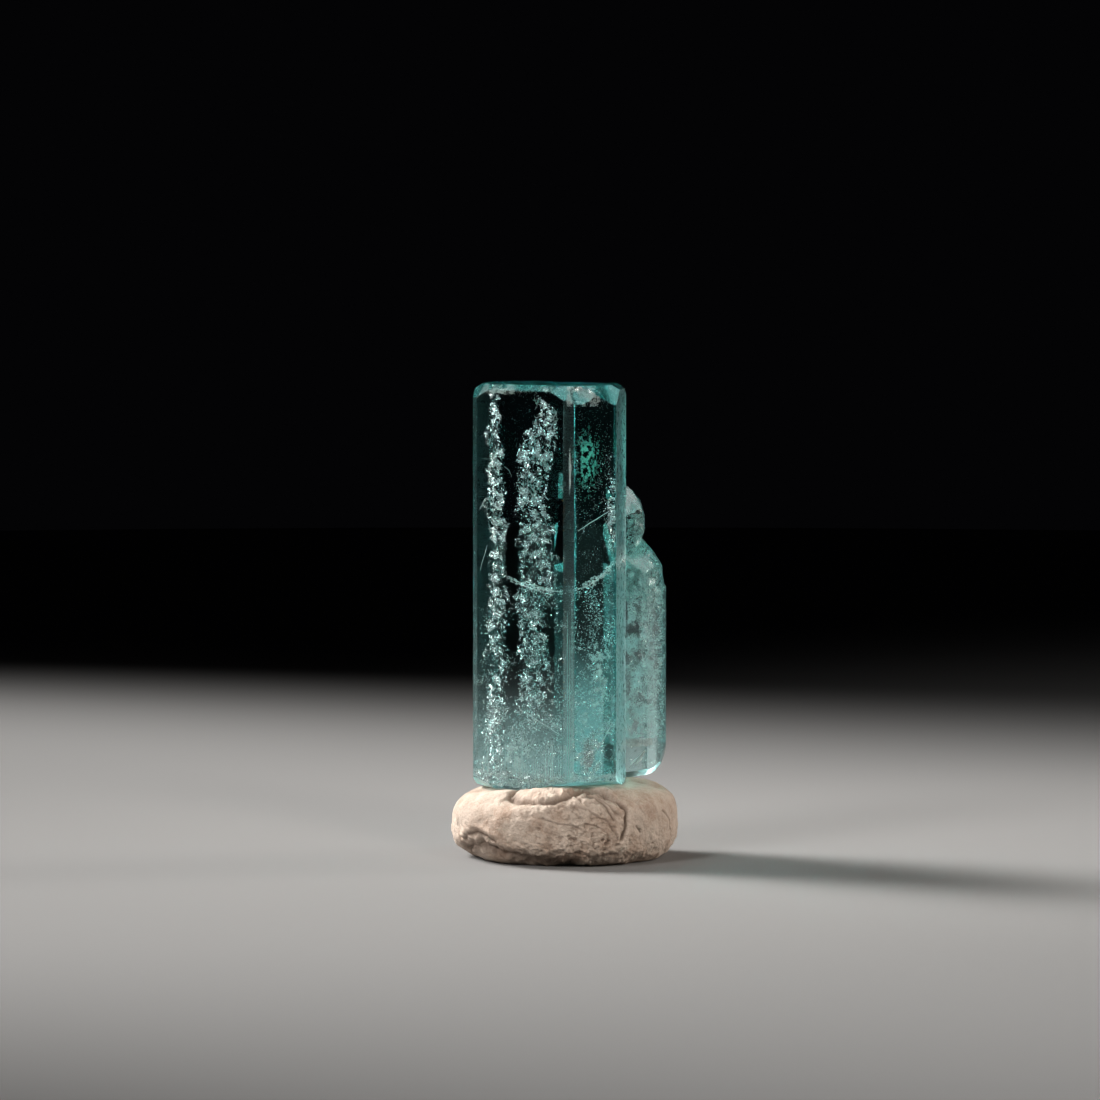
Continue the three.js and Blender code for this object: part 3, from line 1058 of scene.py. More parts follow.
    def clouds(self) -> list[Flakes]:
        """The veils, the mist, the glitter and the rust."""
        left = Sheet("left", Side.LEFT, "foil", self.LEFT_VEIL, sway=0.5, seed=3)
        middle = Sheet("middle", Side.LEFT, "foil", self.MIDDLE_VEIL, sway=0.7, seed=7)
        dust = ((0.010, 0.010, 0.006), (0.030, 0.024, 0.012))
        snow = ((0.020, 0.012, 0.004), (0.080, 0.044, 0.012))
        mist = ((0.018, 0.014, 0.008), (0.085, 0.055, 0.016))
        spark = ((0.018, 0.012, 0.0012), (0.050, 0.032, 0.003))
        glint = ((0.035, 0.020, 0.0020), (0.110, 0.060, 0.005))
        shard = ((0.070, 0.035, 0.004), (0.190, 0.090, 0.008))
        bright = {"facing": (-48.0, 16.0), "tumble": 20.0}
        lit = {"facing": (-38.0, 12.0), "tumble": 42.0}
        glare = {"facing": (8.0, 12.0), "tumble": 22.0}
        veil = {"clump": 0.34, "clump_size": (0.37, 2.6, 0.50), "soft": 0.12}
        return [
            Shards("left_snow", "snow", 1500, *snow, **lit, **veil, seed=41, sheet=left),
            Shards("middle_snow", "snow", 2600, *snow, **lit, **veil, seed=42, sheet=middle),
            Shards("left_glints", "foil", 3200, *glint, **bright, **veil, seed=141, sheet=left),
            Shards("middle_glints", "foil", 6200, *glint, **bright, **veil, seed=142, sheet=middle),
            Shards("left_shards", "foil", 480, *shard, **bright, **veil, seed=241, sheet=left, depth=0.3),
            Shards("middle_shards", "foil", 950, *shard, **bright, **veil, seed=242, sheet=middle, depth=0.3),
            Shards("left_specks", "foil", 1500, *spark, **bright, seed=45, sheet=left,
                   depth=0.4),
            Shards("middle_specks", "foil", 3200, *spark, **bright, seed=46, sheet=middle,
                   depth=0.4),
            Shards("left_halo", "green", 900, *mist, **lit, clump=0.2, clump_size=(0.7, 3.0, 0.9), seed=43,
                   sheet=Sheet("left", Side.LEFT, "green", self.behind(self.LEFT_VEIL, 0.8, 0.8), seed=3)),
            Shards("middle_halo", "green", 1800, *mist, **lit, clump=0.2, clump_size=(0.7, 3.0, 0.9), seed=44,
                   sheet=Sheet("middle", Side.LEFT, "green", self.behind(self.MIDDLE_VEIL, 0.8, 0.8), seed=7)),
            Cloud("high_haze", "powder", 900, *dust, clump=0.2, clump_size=1.6, seed=11, middle=(-1.0, 22.5, -0.5),
                  reach=(5.0, 6.0, 4.6), even=True),
            Cloud("middle_haze", "powder", 2200, *mist, **lit, clump=0.36, clump_size=(0.7, 4.0, 1.3), soft=0.08,
                  seed=12, middle=(-1.0, 12.0, -2.0), reach=(5.0, 4.8, 2.8), even=True),
            Cloud("middle_sparkle", "foil", 700, *glint, **bright, clump=0.34, clump_size=(0.7, 4.0, 1.3), seed=112,
                  middle=(-1.0, 12.0, -2.6), reach=(5.0, 4.8, 2.0), even=True),
            Cloud("low_haze", "snow", 2600, *snow, **lit, clump=0.30, clump_size=(0.5, 3.0, 0.9), soft=0.1, seed=18,
                  side=Side.LEFT, middle=(3.3, 7.6, 1.7), reach=(3.2, 2.5, 1.2), even=True),
            Cloud("low_right_haze", "snow", 1100, *snow, **lit, clump=0.30, clump_size=(0.5, 3.0, 0.9), soft=0.1,
                  seed=27, side=Side.RIGHT, middle=(1.5, 7.6, 1.3), reach=(1.4, 2.6, 0.9), even=True),
            Cloud("low_sparkle", "foil", 1600, *glint, **bright, clump=0.30, clump_size=(0.5, 3.0, 0.9), seed=118,
                  side=Side.LEFT, middle=(3.3, 7.6, 1.5), reach=(3.2, 2.5, 1.0), even=True),
            Cloud("base_haze", "snow", 3600, *snow, **lit, clump=0.05, clump_size=(0.4, 2.0, 0.3), soft=0.15, seed=19,
                  side=Side.LEFT, middle=(3.3, 4.95, 1.1), reach=(3.4, 0.55, 1.0), even=True),
            Cloud("base_glints", "foil", 1500, *glint, **bright, clump=0.08, clump_size=(0.4, 2.0, 0.3), seed=219,
                  side=Side.LEFT, middle=(3.3, 4.95, 0.9), reach=(3.4, 0.50, 0.8), even=True),
            Cloud("base_right_haze", "snow", 1300, *snow, **lit, clump=0.05, clump_size=(0.4, 2.0, 0.3), soft=0.15,
                  seed=119, side=Side.RIGHT, middle=(1.5, 5.0, 1.0), reach=(1.5, 0.50, 0.8), even=True),
            Cloud("side_haze", "powder", 13000, *mist, **lit, clump=0.0, clump_size=(0.5, 3.0, 0.9), soft=0.1,
                  seed=13, middle=(4.9, 12.25, 2.4), reach=(1.4, 5.15, 1.4), even=True),
            Cloud("knob_haze", "green", 6000, *mist, clump=-0.1, clump_size=0.4, seed=20, middle=(4.4, 18.3, 2.6),
                  reach=(1.2, 2.7, 1.2), even=True),
            Skin("strip_frost", "snow", 3600, (0.008, 0.008, 0.004), (0.022, 0.018, 0.008), clump=0.1,
                 clump_size=(0.4, 3.0, 0.8), seed=31, turns=(82,), high=(4.2, 9.0, 28.3)),
            Skin("side_band", "snow", 1500, *snow, seed=36, low=(3.3, -6.0, 6.65), high=(5.3, 3.2, 7.1), near=0.04,
                 far=0.30),
            Skin("side_band_glints", "snow", 1000, *glint, facing=(8.0, 16.0), tumble=16.0, seed=136,
                 low=(3.3, -6.0, 6.65), high=(5.3, 3.2, 7.1), near=0.125, far=0.26),
            Skin("side_sparkle", "foil", 900, *glint, facing=(8.0, 16.0), tumble=18.0, clump=0.15, clump_size=0.5,
                 seed=137, low=(3.9, 1.0, 5.3), high=(6.0, 3.4, 16.0), near=0.125, far=0.30),
            Skin("side_sparks", "snow", 240, *glint, clump=0.05, clump_size=0.4, seed=37, low=(4.5, 1.0, 12.2),
                 high=(5.4, 3.2, 14.4), near=0.125, far=0.25),
            Skin("bevel_frost", "snow", 2400, *dust, clump=0.15, clump_size=0.25, soft=0.15, seed=35,
                 slope=(0.15, 0.95), low=(-9.0, -9.0, 27.4), near=0.03, far=0.16),
            Skin("tip_frost", "snow", 3600, *dust, clump=0.05, clump_size=0.40, soft=0.3, seed=33, slope=(-1.0, 0.95),
                 low=(0.1, -6.0, 27.9), high=(2.1, -4.0, 29.2), near=0.03, far=0.14),
            Cloud("top_frost", "snow", 1100, *dust, clump=0.1, clump_size=(0.30, 2.0, 0.22), seed=34,
                  side=Side.LEFT, middle=(2.0, 28.72, 0.30), reach=(1.5, 0.16, 0.2)),
            Cloud("green_cloud", "teal", 5200, *dust, **lit, clump=0.22, clump_size=(0.20, 2.0, 0.34), soft=0.2, seed=14,
                  side=Side.RIGHT, middle=(0.95, 24.7, 1.0), reach=(0.7, 1.5, 0.3)),
            Cloud("right_haze", "powder", 1200, *mist, clump=0.30, clump_size=(0.6, 3.0, 1.0), soft=0.08, seed=21,
                  side=Side.RIGHT, middle=(1.5, 11.0, 1.4), reach=(1.4, 6.4, 1.0), even=True),
            Cloud("right_patch", "powder", 2400, *snow, **lit, clump=0.3, clump_size=(0.3, 2.0, 0.4), soft=0.1, seed=24,
                  side=Side.RIGHT, middle=(1.75, 11.6, 0.8), reach=(0.8, 2.2, 0.4)),
            Cloud("low_cluster", "snow", 420, *glint, **lit, clump=0.1, clump_size=(0.5, 3.0, 0.6), seed=25,
                  side=Side.RIGHT, middle=(1.1, 6.7, 0.6), reach=(0.8, 1.3, 0.4)),
            Cloud("low_right_sparkle", "foil", 700, *glint, **glare, clump=0.1, clump_size=(0.5, 3.0, 0.6), seed=125,
                  side=Side.RIGHT, middle=(1.1, 6.7, 0.6), reach=(0.9, 1.4, 0.4)),
            Cloud("foot_wisps", "snow", 2600, *snow, **lit, clump=0.2, clump_size=(0.4, 2.0, 0.5), soft=0.1, seed=26,
                  side=Side.LEFT, middle=(2.8, 6.4, 1.5), reach=(1.5, 1.3, 0.5)),
            Cloud("right_dust", "snow", 800, *dust, clump=0.1, clump_size=1.1, seed=22, side=Side.RIGHT,
                  middle=(1.6, 20.5, 1.2), reach=(1.5, 8.0, 1.0), even=True),
            Cloud("right_glitter", "foil", 1500, *spark, **glare, clump=0.1, clump_size=(0.9, 3.0, 1.3), seed=15,
                  side=Side.RIGHT, middle=(1.6, 14.0, 1.2), reach=(1.5, 11.0, 0.9), even=True),
            Cloud("spark_cluster", "foil", 300, *glint, **glare, clump=0.05, clump_size=(0.5, 3.0, 0.6), seed=23,
                  side=Side.RIGHT, middle=(2.5, 21.2, 0.5), reach=(0.35, 2.4, 0.3)),
            Cloud("spark_snow", "snow", 260, *snow, clump=0.15, clump_size=(0.5, 3.0, 0.6), seed=123,
                  side=Side.RIGHT, middle=(2.5, 21.2, 0.5), reach=(0.35, 2.4, 0.3)),
            Cloud("side_glitter", "foil", 500, *spark, facing=(20.0, 20.0), tumble=50.0, clump=0.1,
                  clump_size=1.3, seed=16, middle=(4.9, 12.5, 2.2), reach=(1.2, 6.0, 0.8), even=True),
            Cloud("streak_glints", "snow", 260, *glint, seed=124, side=Side.EDGE, middle=(0.43, 24.0, 0.2),
                  reach=(0.05, 1.2, 0.05)),
            Cloud("rust_line", "rust", 90, (0.015, 0.015, 0.015), (0.042, 0.042, 0.05), seed=17, side=Side.EDGE,
                  middle=(0.06, 13.5, 0.14), reach=(0.1, 9.5, 0.08), even=True),
        ]

    @staticmethod
    def behind(rows: list, step: float, fill: float) -> list:
        """The rows of a sheet, moved deeper into the crystal and thinned."""
        return [[height, start, end, depth + step, share * fill] for height, start, end, depth, share in rows]

    @staticmethod
    def filaments(rows: list, count: int, stride: float, seed: int) -> list:
        """Fine curved lines that wander down along a veil.

        Args:
            rows: the veil's rows.
            count: how many.
            stride: how far each of a line's steps goes, in millimetres.
            seed: for the random draws.
        """
        dice = np.random.default_rng(seed)
        sheet = Sheet("wandering", Side.LEFT, "foil", rows)
        lines = []
        for _ in range(count):
            _, start, end, depth, _ = row = sheet.row(dice.uniform(*sheet.span()))
            along, height = dice.uniform(start - 0.15, end + 0.15), row[0]
            heading = math.radians(dice.normal(-70, 40))
            line = []
            for _ in range(dice.integers(4, 9)):
                line.append([along, height, depth + dice.normal(0, 0.08)])
                heading += dice.normal(0, 0.4)
                along += stride * math.cos(heading)
                height += stride * math.sin(heading)
            lines.append(line)
        return lines

    def threads(self) -> list[Thread]:
        """The fine lines."""
        dice = np.random.default_rng(5)
        tubes = []
        for along in dice.uniform(0.4, 6.4, 46):
            low = dice.uniform(4.7, 5.4)
            tubes.append([[along, low, 0.5], [along, low + dice.uniform(0.5, 2.4), 0.5]])
        ribs = [[[along, 4.9, 0.5], [along, top, 0.5]] for along, top in ((0.28, 15.5), (0.42, 14.0), (0.56, 16.5))]
        return [
            Thread("growth_tubes", Side.LEFT, "powder", tubes, 0.012, 0.01, seed=23),
            Thread("edge_ribs", Side.EDGE, "green", ribs, 0.022, 0.01, seed=26),
            Thread("left_filaments", Side.LEFT, "snow", self.filaments(self.LEFT_VEIL, 40, 0.13, 61), 0.009, 0.05,
                   0.3, step=0.08, seed=61),
            Thread("middle_filaments", Side.LEFT, "snow", self.filaments(self.MIDDLE_VEIL, 80, 0.14, 62), 0.009,
                   0.05, 0.3, step=0.08, seed=62),
            Thread("edge_streak", Side.EDGE, "snow", [[[0.45, 25.1, 0.2], [0.45, 24.0, 0.2], [0.42, 22.9, 0.2]]],
                   0.075, 0.03, seed=24),
            Thread("side_streak", Side.WHOLE, "snow", [
                [[4.0, 5.5, 1.6], [4.5, 5.9, 1.75], [5.0, 6.4, 2.0]], [[4.25, 5.5, 1.65], [4.8, 6.0, 1.85]],
            ], 0.08, 0.08, 0.4, seed=25),
            Thread("right_needles", Side.RIGHT, "snow", [
                [[0.3, 20.4, 0.6], [2.3, 21.5, 1.4]], [[1.1, 6.2, 1.2], [2.6, 8.6, 0.8]],
                [[0.13, 16.8, 0.5], [0.9, 17.0, 0.5], [1.8, 17.5, 0.5], [2.9, 18.6, 0.5]],
            ], 0.022, seed=21),
            Thread("left_needles", Side.LEFT, "snow", [
                [[2.5, 17.35, 0.4], [3.4, 16.95, 0.4], [4.4, 16.75, 0.4], [6.4, 16.7, 0.4]],
                [[3.6, 9.2, 0.5], [6.5, 7.9, 0.8]], [[4.57, 19.9, 0.6], [5.2, 19.7, 0.6], [5.8, 19.5, 0.6]],
                [[0.08, 21.4, 0.6], [0.6, 22.2, 0.6]], [[0.15, 17.7, 0.6], [0.7, 19.3, 0.6]],
            ], 0.022, seed=22),
        ]


# ---------------------------------------------------------------------------------------------------------------
# The putty
# ---------------------------------------------------------------------------------------------------------------


@dataclass
class Crease:
    """A fold line round the putty: [turn, height] points, its depth and width, and the lip above it, in mm."""

    points: list
    depth: float = 0.15
    width: float = 0.12
    lip: float = 0.0


@dataclass
class Putty:
    """The putty: a squeezed ball with a flat underside, folded, creased and pitted, and dented by the crystal.

    Its rows of [turn, reach, rim height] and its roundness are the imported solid's own.
    """

    node: str = "mounting_putty"
    rounds: int = 560
    rings: int = 172
    front_share: float = 0.35
    side_share: float = 0.2
    waist: float = 2.15
    below: float = 0.6
    middle: float = 4.72
    outline: list = field(default_factory=lambda: [
        [-180, 6.55, 4.75], [-135, 6.85, 4.5], [-90, 7.08, 4.25], [-60, 7.0, 4.3], [-34, 6.9, 4.3],
        [-8, 6.82, 5.12], [14, 6.78, 5.05], [38, 6.85, 5.0], [62, 6.95, 4.85], [90, 7.02, 4.95],
        [135, 6.8, 4.85], [180, 6.55, 4.75],
    ])
    upper_round: float = 3.7
    lower_round: float = 3.0
    inset: float = 0.14
    clearance: float = 0.03
    creases: list = field(default_factory=lambda: [
        Crease([[-46, 4.43], [-40, 4.18], [-34, 4.1], [-28, 4.02], [-22, 4.11], [-16, 4.01], [-10, 3.97], [-6, 4.04],
                [-3, 4.16], [2, 4.34], [7, 4.52], [13, 4.63], [18, 4.61], [22, 4.53], [26, 4.39]], 0.60, 0.13, 0.15),
        Crease([[26, 4.39], [29, 4.07], [32, 3.75], [34, 3.38], [34, 2.95], [34, 2.53], [32, 2.12], [31, 1.76]],
               0.55, 0.10, 0.10),
        Crease([[13, 4.40], [17, 4.25], [21, 3.90], [24, 3.42], [26, 2.86]], 0.18, 0.06, 0.08),
        Crease([[19, 4.22], [22, 3.98], [25, 3.66], [28, 3.2]], 0.10, 0.05, 0.05),
        Crease([[15, 4.5], [20, 4.38], [25, 4.17], [29, 3.77]], 0.12, 0.05, 0.05),
        Crease([[-4, 3.80], [1, 3.66], [6, 3.33], [9, 2.84]], 0.07, 0.05, 0.04),
        Crease([[6, 3.72], [12, 3.54], [17, 3.09], [22, 2.9]], 0.08, 0.05, 0.04),
        Crease([[-12, 3.0], [-4, 2.72], [4, 2.60], [10, 2.2]], 0.08, 0.06, 0.04),
        Crease([[10, 2.74], [17, 2.55], [22, 2.13], [24, 1.53]], 0.09, 0.05, 0.04),
        Crease([[24, 2.65], [27, 2.15], [28, 1.66]], 0.12, 0.06, 0.05),
        Crease([[-66, 3.85], [-72, 3.05], [-74, 2.17], [-69, 1.38]], 0.10, 0.09, 0.05),
        Crease([[-66, 1.35], [-60, 1.75], [-53, 1.95], [-45, 1.75], [-40, 1.42]], 0.16, 0.14, 0.08),
        Crease([[61, 3.18], [68, 2.5], [71, 1.85]], 0.13, 0.05, 0.03),
        Crease([[41, 2.41], [43, 2.03]], 0.14, 0.05),
        Crease([[-78, 0.35], [-62, 0.85], [-50, 1.15], [-40, 0.75], [-22, 0.35], [4, 0.10]], 0.60, 0.50),
        Crease([[-6, 0.95], [6, 0.86], [16, 0.66], [29, 0.81]], 0.10, 0.10, 0.04),
        Crease([[39, 4.12], [43, 3.61], [46, 2.98]], 0.04, 0.05, 0.02),
        Crease([[49, 4.04], [54, 3.38], [57, 2.62]], 0.04, 0.05, 0.02),
        Crease([[118, 3.9], [138, 3.4], [160, 3.2], [178, 3.6]], 0.16, 0.16, 0.03),
        Crease([[-170, 1.5], [-150, 2.1], [-124, 2.5], [-104, 2.3]], 0.14, 0.16, 0.03),
    ])
    pits: list = field(default_factory=lambda: [
        [3, 1.81, 0.16, 0.16], [22, 1.46, 0.16, 0.18], [2, 1.99, 0.12, 0.12], [5, 1.69, 0.14, 0.14],
        [20, 1.71, 0.13, 0.16], [23, 1.63, 0.10, 0.12], [43, 2.21, 0.08, 0.08], [53, 1.27, 0.12, 0.10],
        [-14, 2.4, 0.14, 0.06],
    ])

    def build(self, room: Room, material: bpy.types.Material) -> bpy.types.Object:
        """The putty's fine mesh, in place of its node.

        Args:
            room: the crystal's solid, which dents it.
            material: the putty.
        """
        points, turns = self._ball()
        faces = self._faces()
        normals = self._normals(points, faces)
        push, crease = self._relief(points, turns)
        points = points + normals * push[:, None]
        low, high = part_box(self.node)
        points[:, :2] = np.clip(points[:, :2], np.array(low[:2]) / MM, np.array(high[:2]) / MM)
        points[:, 2] = np.clip(points[:, 2], 0.0, high.z / MM)
        self._dent(points, room)
        mesh = mesh_from("mounting_putty_surface", points * MM, faces)
        mesh.shade_smooth()
        # The "crease" attribute carries painted shade for creases, pits and fine hollows.
        layer = mesh.attributes.new("crease", "FLOAT", "POINT")
        layer.data.foreach_set("value", crease.astype(np.float32))
        mesh.materials.append(material)
        shown = new_object("mounting_putty_surface", mesh)
        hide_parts(self.node)
        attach(shown, "root")
        LOG.info("putty: %d faces", len(mesh.polygons))
        return shown

    def _ball(self) -> tuple[np.ndarray, np.ndarray]:
        """The squeezed ball's points, in millimetres, and the turn of each."""
        rows = np.array(self.outline, float)
        turn = np.linspace(-180, 180, self.rounds, endpoint=False)
        turn -= math.degrees(self.front_share) * np.sin(np.radians(turn))
        tilt = np.linspace(0, math.pi, self.rings + 1)[1:-1]
        tilt += self.side_share * np.sin(2 * tilt)
        turns, tilts = np.meshgrid(turn, tilt)
        turns, tilts = turns.ravel(), tilts.ravel()
        reach = self._smooth(turns, rows[:, 0], rows[:, 1]) - self.inset
        across, up = np.sin(tilts), np.cos(tilts)
        rim = self.middle + (self._smooth(turns, rows[:, 0], rows[:, 2]) - self.middle) * across
        half = np.where(up >= 0, rim - self.waist, self.waist + self.below)
        roundness = np.where(up >= 0, self.upper_round, self.lower_round)
        swell = (across**roundness + np.abs(up) ** roundness) ** (-1 / roundness)
        out = across * swell * reach
        z = self.waist + up * swell * half
        angle = np.radians(turns)
        points = np.stack([np.sin(angle) * out, -np.cos(angle) * out, z], -1)
        poles = np.array([[0, 0, self.middle], [0, 0, -self.below]])
        return np.concatenate([points, poles]), np.concatenate([turns, [0.0, 0.0]])

    @staticmethod
    def _smooth(turns: np.ndarray, at: np.ndarray, values: np.ndarray) -> np.ndarray:
        """Values at turns, eased between the rows."""
        share = np.interp(turns, at, np.arange(len(at)))
        whole = np.minimum(share.astype(int), len(at) - 2)
        part = share - whole
        part = part * part * (3 - 2 * part)
        return values[whole] + (values[whole + 1] - values[whole]) * part

    def _faces(self) -> list:
        """The ball's quads and its two caps of triangles."""
        n, m = self.rounds, self.rings - 1
        top, bottom = n * m, n * m + 1
        quads = [(r * n + c, (r + 1) * n + c, (r + 1) * n + (c + 1) % n, r * n + (c + 1) % n)
                 for r in range(m - 1) for c in range(n)]
        caps = [(top, c, (c + 1) % n) for c in range(n)]
        caps += [(bottom, (m - 1) * n + (c + 1) % n, (m - 1) * n + c) for c in range(n)]
        return quads + caps

    @staticmethod
    def _normals(points: np.ndarray, faces: list) -> np.ndarray:
        """The smooth direction outwards at each point."""
        mesh = mesh_from("putty_normals", points, faces)
        normals = np.zeros(len(points) * 3, np.float32)
        mesh.vertex_normals.foreach_get("vector", normals)
        bpy.data.meshes.remove(mesh)
        return normals.reshape(-1, 3)

    def _relief(self, points: np.ndarray, turns: np.ndarray) -> tuple[np.ndarray, np.ndarray]:
        """How far each point moves out, and how much painted shade it gets in creases, pits and hollows.

        Args:
            points: the ball's points.
            turns: their turns.

        Returns:
            The push in millimetres and the painted shade in creases, pits and hollows, from 0 to 1.
        """
        arc = np.radians(turns) * 6.5
        height = points[:, 2]
        grain = np.array([self._grain(Vector(p)) for p in points])
        wander = np.array([noise.noise(Vector(p / 0.45) + Vector((7, 0, 0))) for p in points])
        push = np.zeros(len(points))
        painted_shade = np.zeros(len(points))
        for crease in self.creases:
            line = np.array(crease.points, float)
            line[:, 0] = np.radians(line[:, 0]) * 6.5
            away, above = self._distance(arc + 0.13 * wander, height + 0.2 * grain[:, 1], line)
            groove = np.exp(-np.abs(away) / crease.width) * (0.75 + 0.5 * wander)
            push -= crease.depth * groove
            push += crease.lip * np.exp(-(((away - 2.2 * crease.width) / (1.6 * crease.width)) ** 2)) * above
            # Painted shade along each crease.
            painted_shade = np.maximum(painted_shade, np.exp(-((away / crease.width) ** 2)) * min(1, crease.depth / 0.16))
        for turn, level, size, depth in self.pits:
            away = np.hypot(arc - math.radians(turn) * 6.5, (height - level) * 1.4) + 0.04 * grain[:, 1]
            pit = np.exp(-((away / size) ** 4))
            push -= depth * pit
            # Painted shade in each pit.
            painted_shade = np.maximum(painted_shade, 0.8 * pit)
        rough = self._roughness(arc, height)
        push += grain[:, 0] + rough * grain[:, 1] + self._wrinkles(arc, height, wander) * rough
        # Painted shade in the low spots of the fine grain.
        painted_shade = np.maximum(painted_shade, np.clip(-grain[:, 1] * 11 * rough, 0, 0.75))
        return push + self._fingerprint(arc, height), painted_shade

    @staticmethod
    def _grain(place: Vector) -> tuple[float, float]:
        """The putty's soft lumps and its fine crumbly grain at a place, in millimetres."""
        lumps = 0.16 * noise.noise(place / 2.2) + 0.08 * noise.noise(place / 0.8)
        fine = 0.075 * noise.fractal(place / 0.38, 0.7, 2.1, 4) + 0.020 * noise.noise(place / 0.11)
        return lumps, fine

    @staticmethod
    def _roughness(arc: np.ndarray, height: np.ndarray) -> np.ndarray:
        """How crumbly the surface is: smooth on the left and on the right lobe, rough low down and in the middle."""
        middle = np.exp(-(((arc - 0.9) / 3.3) ** 2))
        low = np.clip((2.6 - height) / 1.4, 0, 1)
        flap = np.exp(-(((arc - 0.3) / 2.6) ** 2)) * np.clip((height - 3.8) / 0.3, 0, 1)
        return np.clip(0.2 + 0.9 * middle + 0.5 * low + 0.6 * flap, 0, 1.6)

    @staticmethod
    def _wrinkles(arc: np.ndarray, height: np.ndarray, wander: np.ndarray) -> np.ndarray:
        """Fine stretch wrinkles that run down to the right, in millimetres."""
        across = 0.57 * arc + 0.82 * height + 0.35 * wander
        return 0.018 * (1 - 2 * np.abs(np.sin(across * math.pi / 0.52))) + 0.010 * np.sin(across * 2 * math.pi / 0.21)

    @staticmethod
    def _distance(arc: np.ndarray, height: np.ndarray, line: np.ndarray) -> tuple[np.ndarray, np.ndarray]:
        """How far points are from a line of points, and 1 where they are above it or else 0."""
        best = np.full(len(arc), 1e9)
        above = np.zeros(len(arc))
        for start, end in zip(line[:-1], line[1:]):
            run = end - start
            share = np.clip(((arc - start[0]) * run[0] + (height - start[1]) * run[1]) / (run @ run), 0, 1)
            off_arc = arc - start[0] - share * run[0]
            off_height = height - start[1] - share * run[1]
            away = np.hypot(off_arc, off_height)
            side = run[0] * off_height - run[1] * off_arc > 0
            nearer = away < best
            best = np.where(nearer, away, best)
            above = np.where(nearer, side, above)
        return best, above

    @staticmethod
    def _fingerprint(arc: np.ndarray, height: np.ndarray) -> np.ndarray:
        """Fine ridges that a fingertip left low on the left."""
        centre_arc, centre_height = math.radians(-52) * 6.5, 3.4
        ring = np.hypot(arc - centre_arc, (height - centre_height) * 1.25)
        patch = np.exp(-(((arc - math.radians(-68) * 6.5) / 1.3) ** 2) - ((height - 1.5) / 0.9) ** 2)
        return 0.045 * np.sin(ring * 2 * math.pi / 0.46) * patch

    def _dent(self, points: np.ndarray, room: Room) -> None:
        """Lowers the points that would touch the crystal to just under it.

        Args:
            points: the putty's points, which are changed.
            room: the crystal's solid.
        """
        spread = 0.09
        for point in points:
            if point[2] < 4.3 or math.hypot(point[0], point[1]) > 6.9:
                continue
            around = [(0, 0), (spread, 0), (-spread, 0), (0, spread), (0, -spread)]
            roof = min(room.underside((point[0] + dx) * MM, (point[1] + dy) * MM) for dx, dy in around) / MM
            point[2] = min(point[2], roof - self.clearance)


# ---------------------------------------------------------------------------------------------------------------
# The studio
# ---------------------------------------------------------------------------------------------------------------


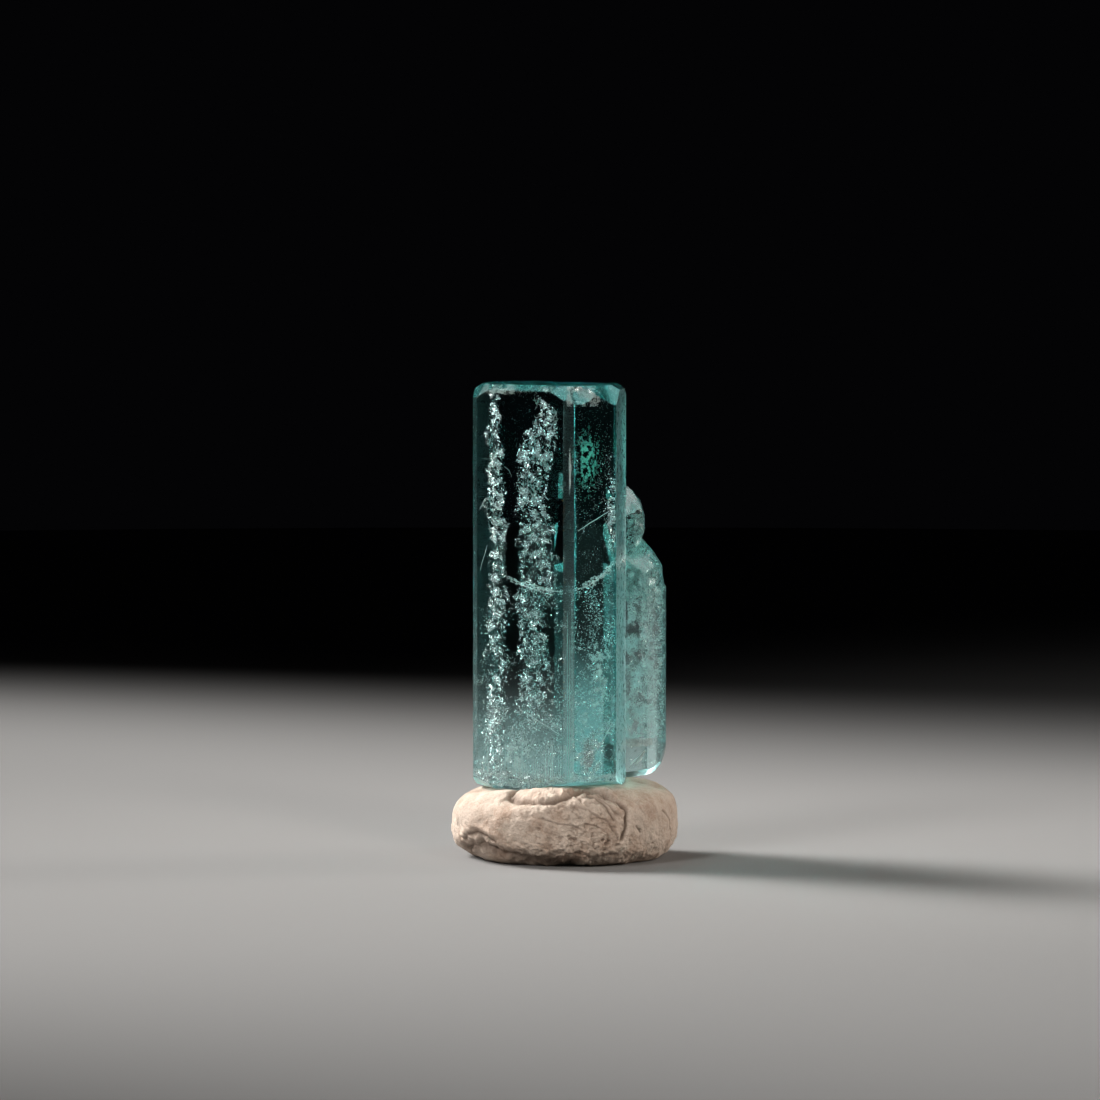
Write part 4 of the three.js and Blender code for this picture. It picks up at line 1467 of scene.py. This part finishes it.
@dataclass
class Studio:
    """The camera, the floor and the lights."""

    camera_place: tuple = (-0.92 * MM, -370.0 * MM, 42.4 * MM)
    camera_aim: tuple = (-0.92 * MM, 0.0, 18.9 * MM)
    lens: float = 197.7
    sensor: float = 36.0
    floor_reach: float = 0.34

    def build(self) -> None:
        """All of it."""
        self._camera()
        self._floor()
        self._lights()

    def _camera(self) -> None:
        """The camera, a little above the middle of the crystal."""
        data = bpy.data.cameras.new("camera")
        data.lens = self.lens
        data.sensor_width = self.sensor
        data.clip_start = 0.01
        data.clip_end = 10.0
        camera = bpy.data.objects.new("camera", data)
        camera.location = self.camera_place
        direction = Vector(self.camera_aim) - Vector(self.camera_place)
        camera.rotation_euler = direction.to_track_quat("-Z", "Y").to_euler()
        bpy.context.scene.collection.objects.link(camera)
        bpy.context.scene.camera = camera

    def _floor(self) -> None:
        """A round pale floor."""
        turns = np.linspace(0, 2 * math.pi, 96, endpoint=False)
        rim = np.stack([np.cos(turns), np.sin(turns), np.zeros_like(turns)], -1) * self.floor_reach
        rim[:, 2] = -0.02 * MM
        floor = new_object("studio_floor", mesh_from("studio_floor", rim, [range(len(turns))]))
        floor.data.materials.append(FloorFinish().build())

    def _area(self, name: str, place: tuple, aim: tuple, size: float, power: float, spread: float,
              colour: tuple = (1, 1, 1)) -> None:
        """A square area light.

        Args:
            name: its name.
            place: where it is.
            aim: the place that it faces.
            size: its side.
            power: in watts.
            spread: how wide it shines, in degrees.
            colour: its colour.
        """
        data = bpy.data.lights.new(name, "AREA")
        data.shape = "SQUARE"
        data.size = size
        data.energy = power
        data.color = colour
        data.spread = math.radians(spread)
        light = bpy.data.objects.new(name, data)
        light.location = place
        direction = Vector(aim) - Vector(place)
        light.rotation_euler = direction.to_track_quat("-Z", "Y").to_euler()
        bpy.context.scene.collection.objects.link(light)

    def _lights(self) -> None:
        """A key from the left and a little behind, weaker lights from the front and the right, and a dim room."""
        self._area("key", (-0.147, 0.075, 0.14), (0.0, -0.012, 0.014), 0.17, 0.205, 29, (1.0, 0.98, 0.96))
        self._area("front", (-0.121, -0.134, 0.141), (-0.001, -0.002, 0.020), 0.09, 0.013, 26, (1.0, 0.98, 0.96))
        self._area("fill", (0.085, -0.15, 0.12), (0.003, 0.0, 0.012), 0.06, 0.0036, 20, (1.0, 0.92, 0.84))
        self._area("side", (0.14, 0.035, 0.045), (0.002, 0.0, 0.012), 0.08, 0.0105, 24, (1.0, 0.93, 0.87))
        world = bpy.data.worlds.new("room")
        world.use_nodes = True
        background = world.node_tree.nodes["Background"]
        background.inputs["Color"].default_value = (0.0012, 0.0012, 0.0015, 1)
        bpy.context.scene.world = world
        bpy.context.scene.view_settings.view_transform = "Standard"


def main() -> None:
    """Builds the studio and every piece."""
    logging.basicConfig(level=logging.INFO, format="%(message)s")
    Studio().build()
    room = Room("beryl_crystal")
    Crystal().build(BerylFinish().build())
    Putty().build(room, PuttyFinish().build())
    materials = {
        "foil": FlakeFinish("inner_foil", rgba(0.98, 0.97, 0.97), 1.0, 0.27).build(),
        "snow": FlakeFinish("inner_snow", rgba(0.96, 0.95, 0.94), 0.0, 0.45).build(),
        "powder": FlakeFinish("inner_powder", rgba(0.80, 0.95, 0.93), 0.0, 0.6).build(),
        "green": FlakeFinish("inner_pale_green", rgba(0.45, 0.74, 0.70), 0.0, 0.6).build(),
        "rust": FlakeFinish("rust_specks", rgba(0.45, 0.18, 0.05), 0.0, 0.7).build(),
        "teal": FlakeFinish("inner_green_powder", rgba(0.22, 0.85, 0.70), 0.0, 0.5).build(),
    }
    Inclusions(room, materials).build()


if __name__ == "__main__":
    main()
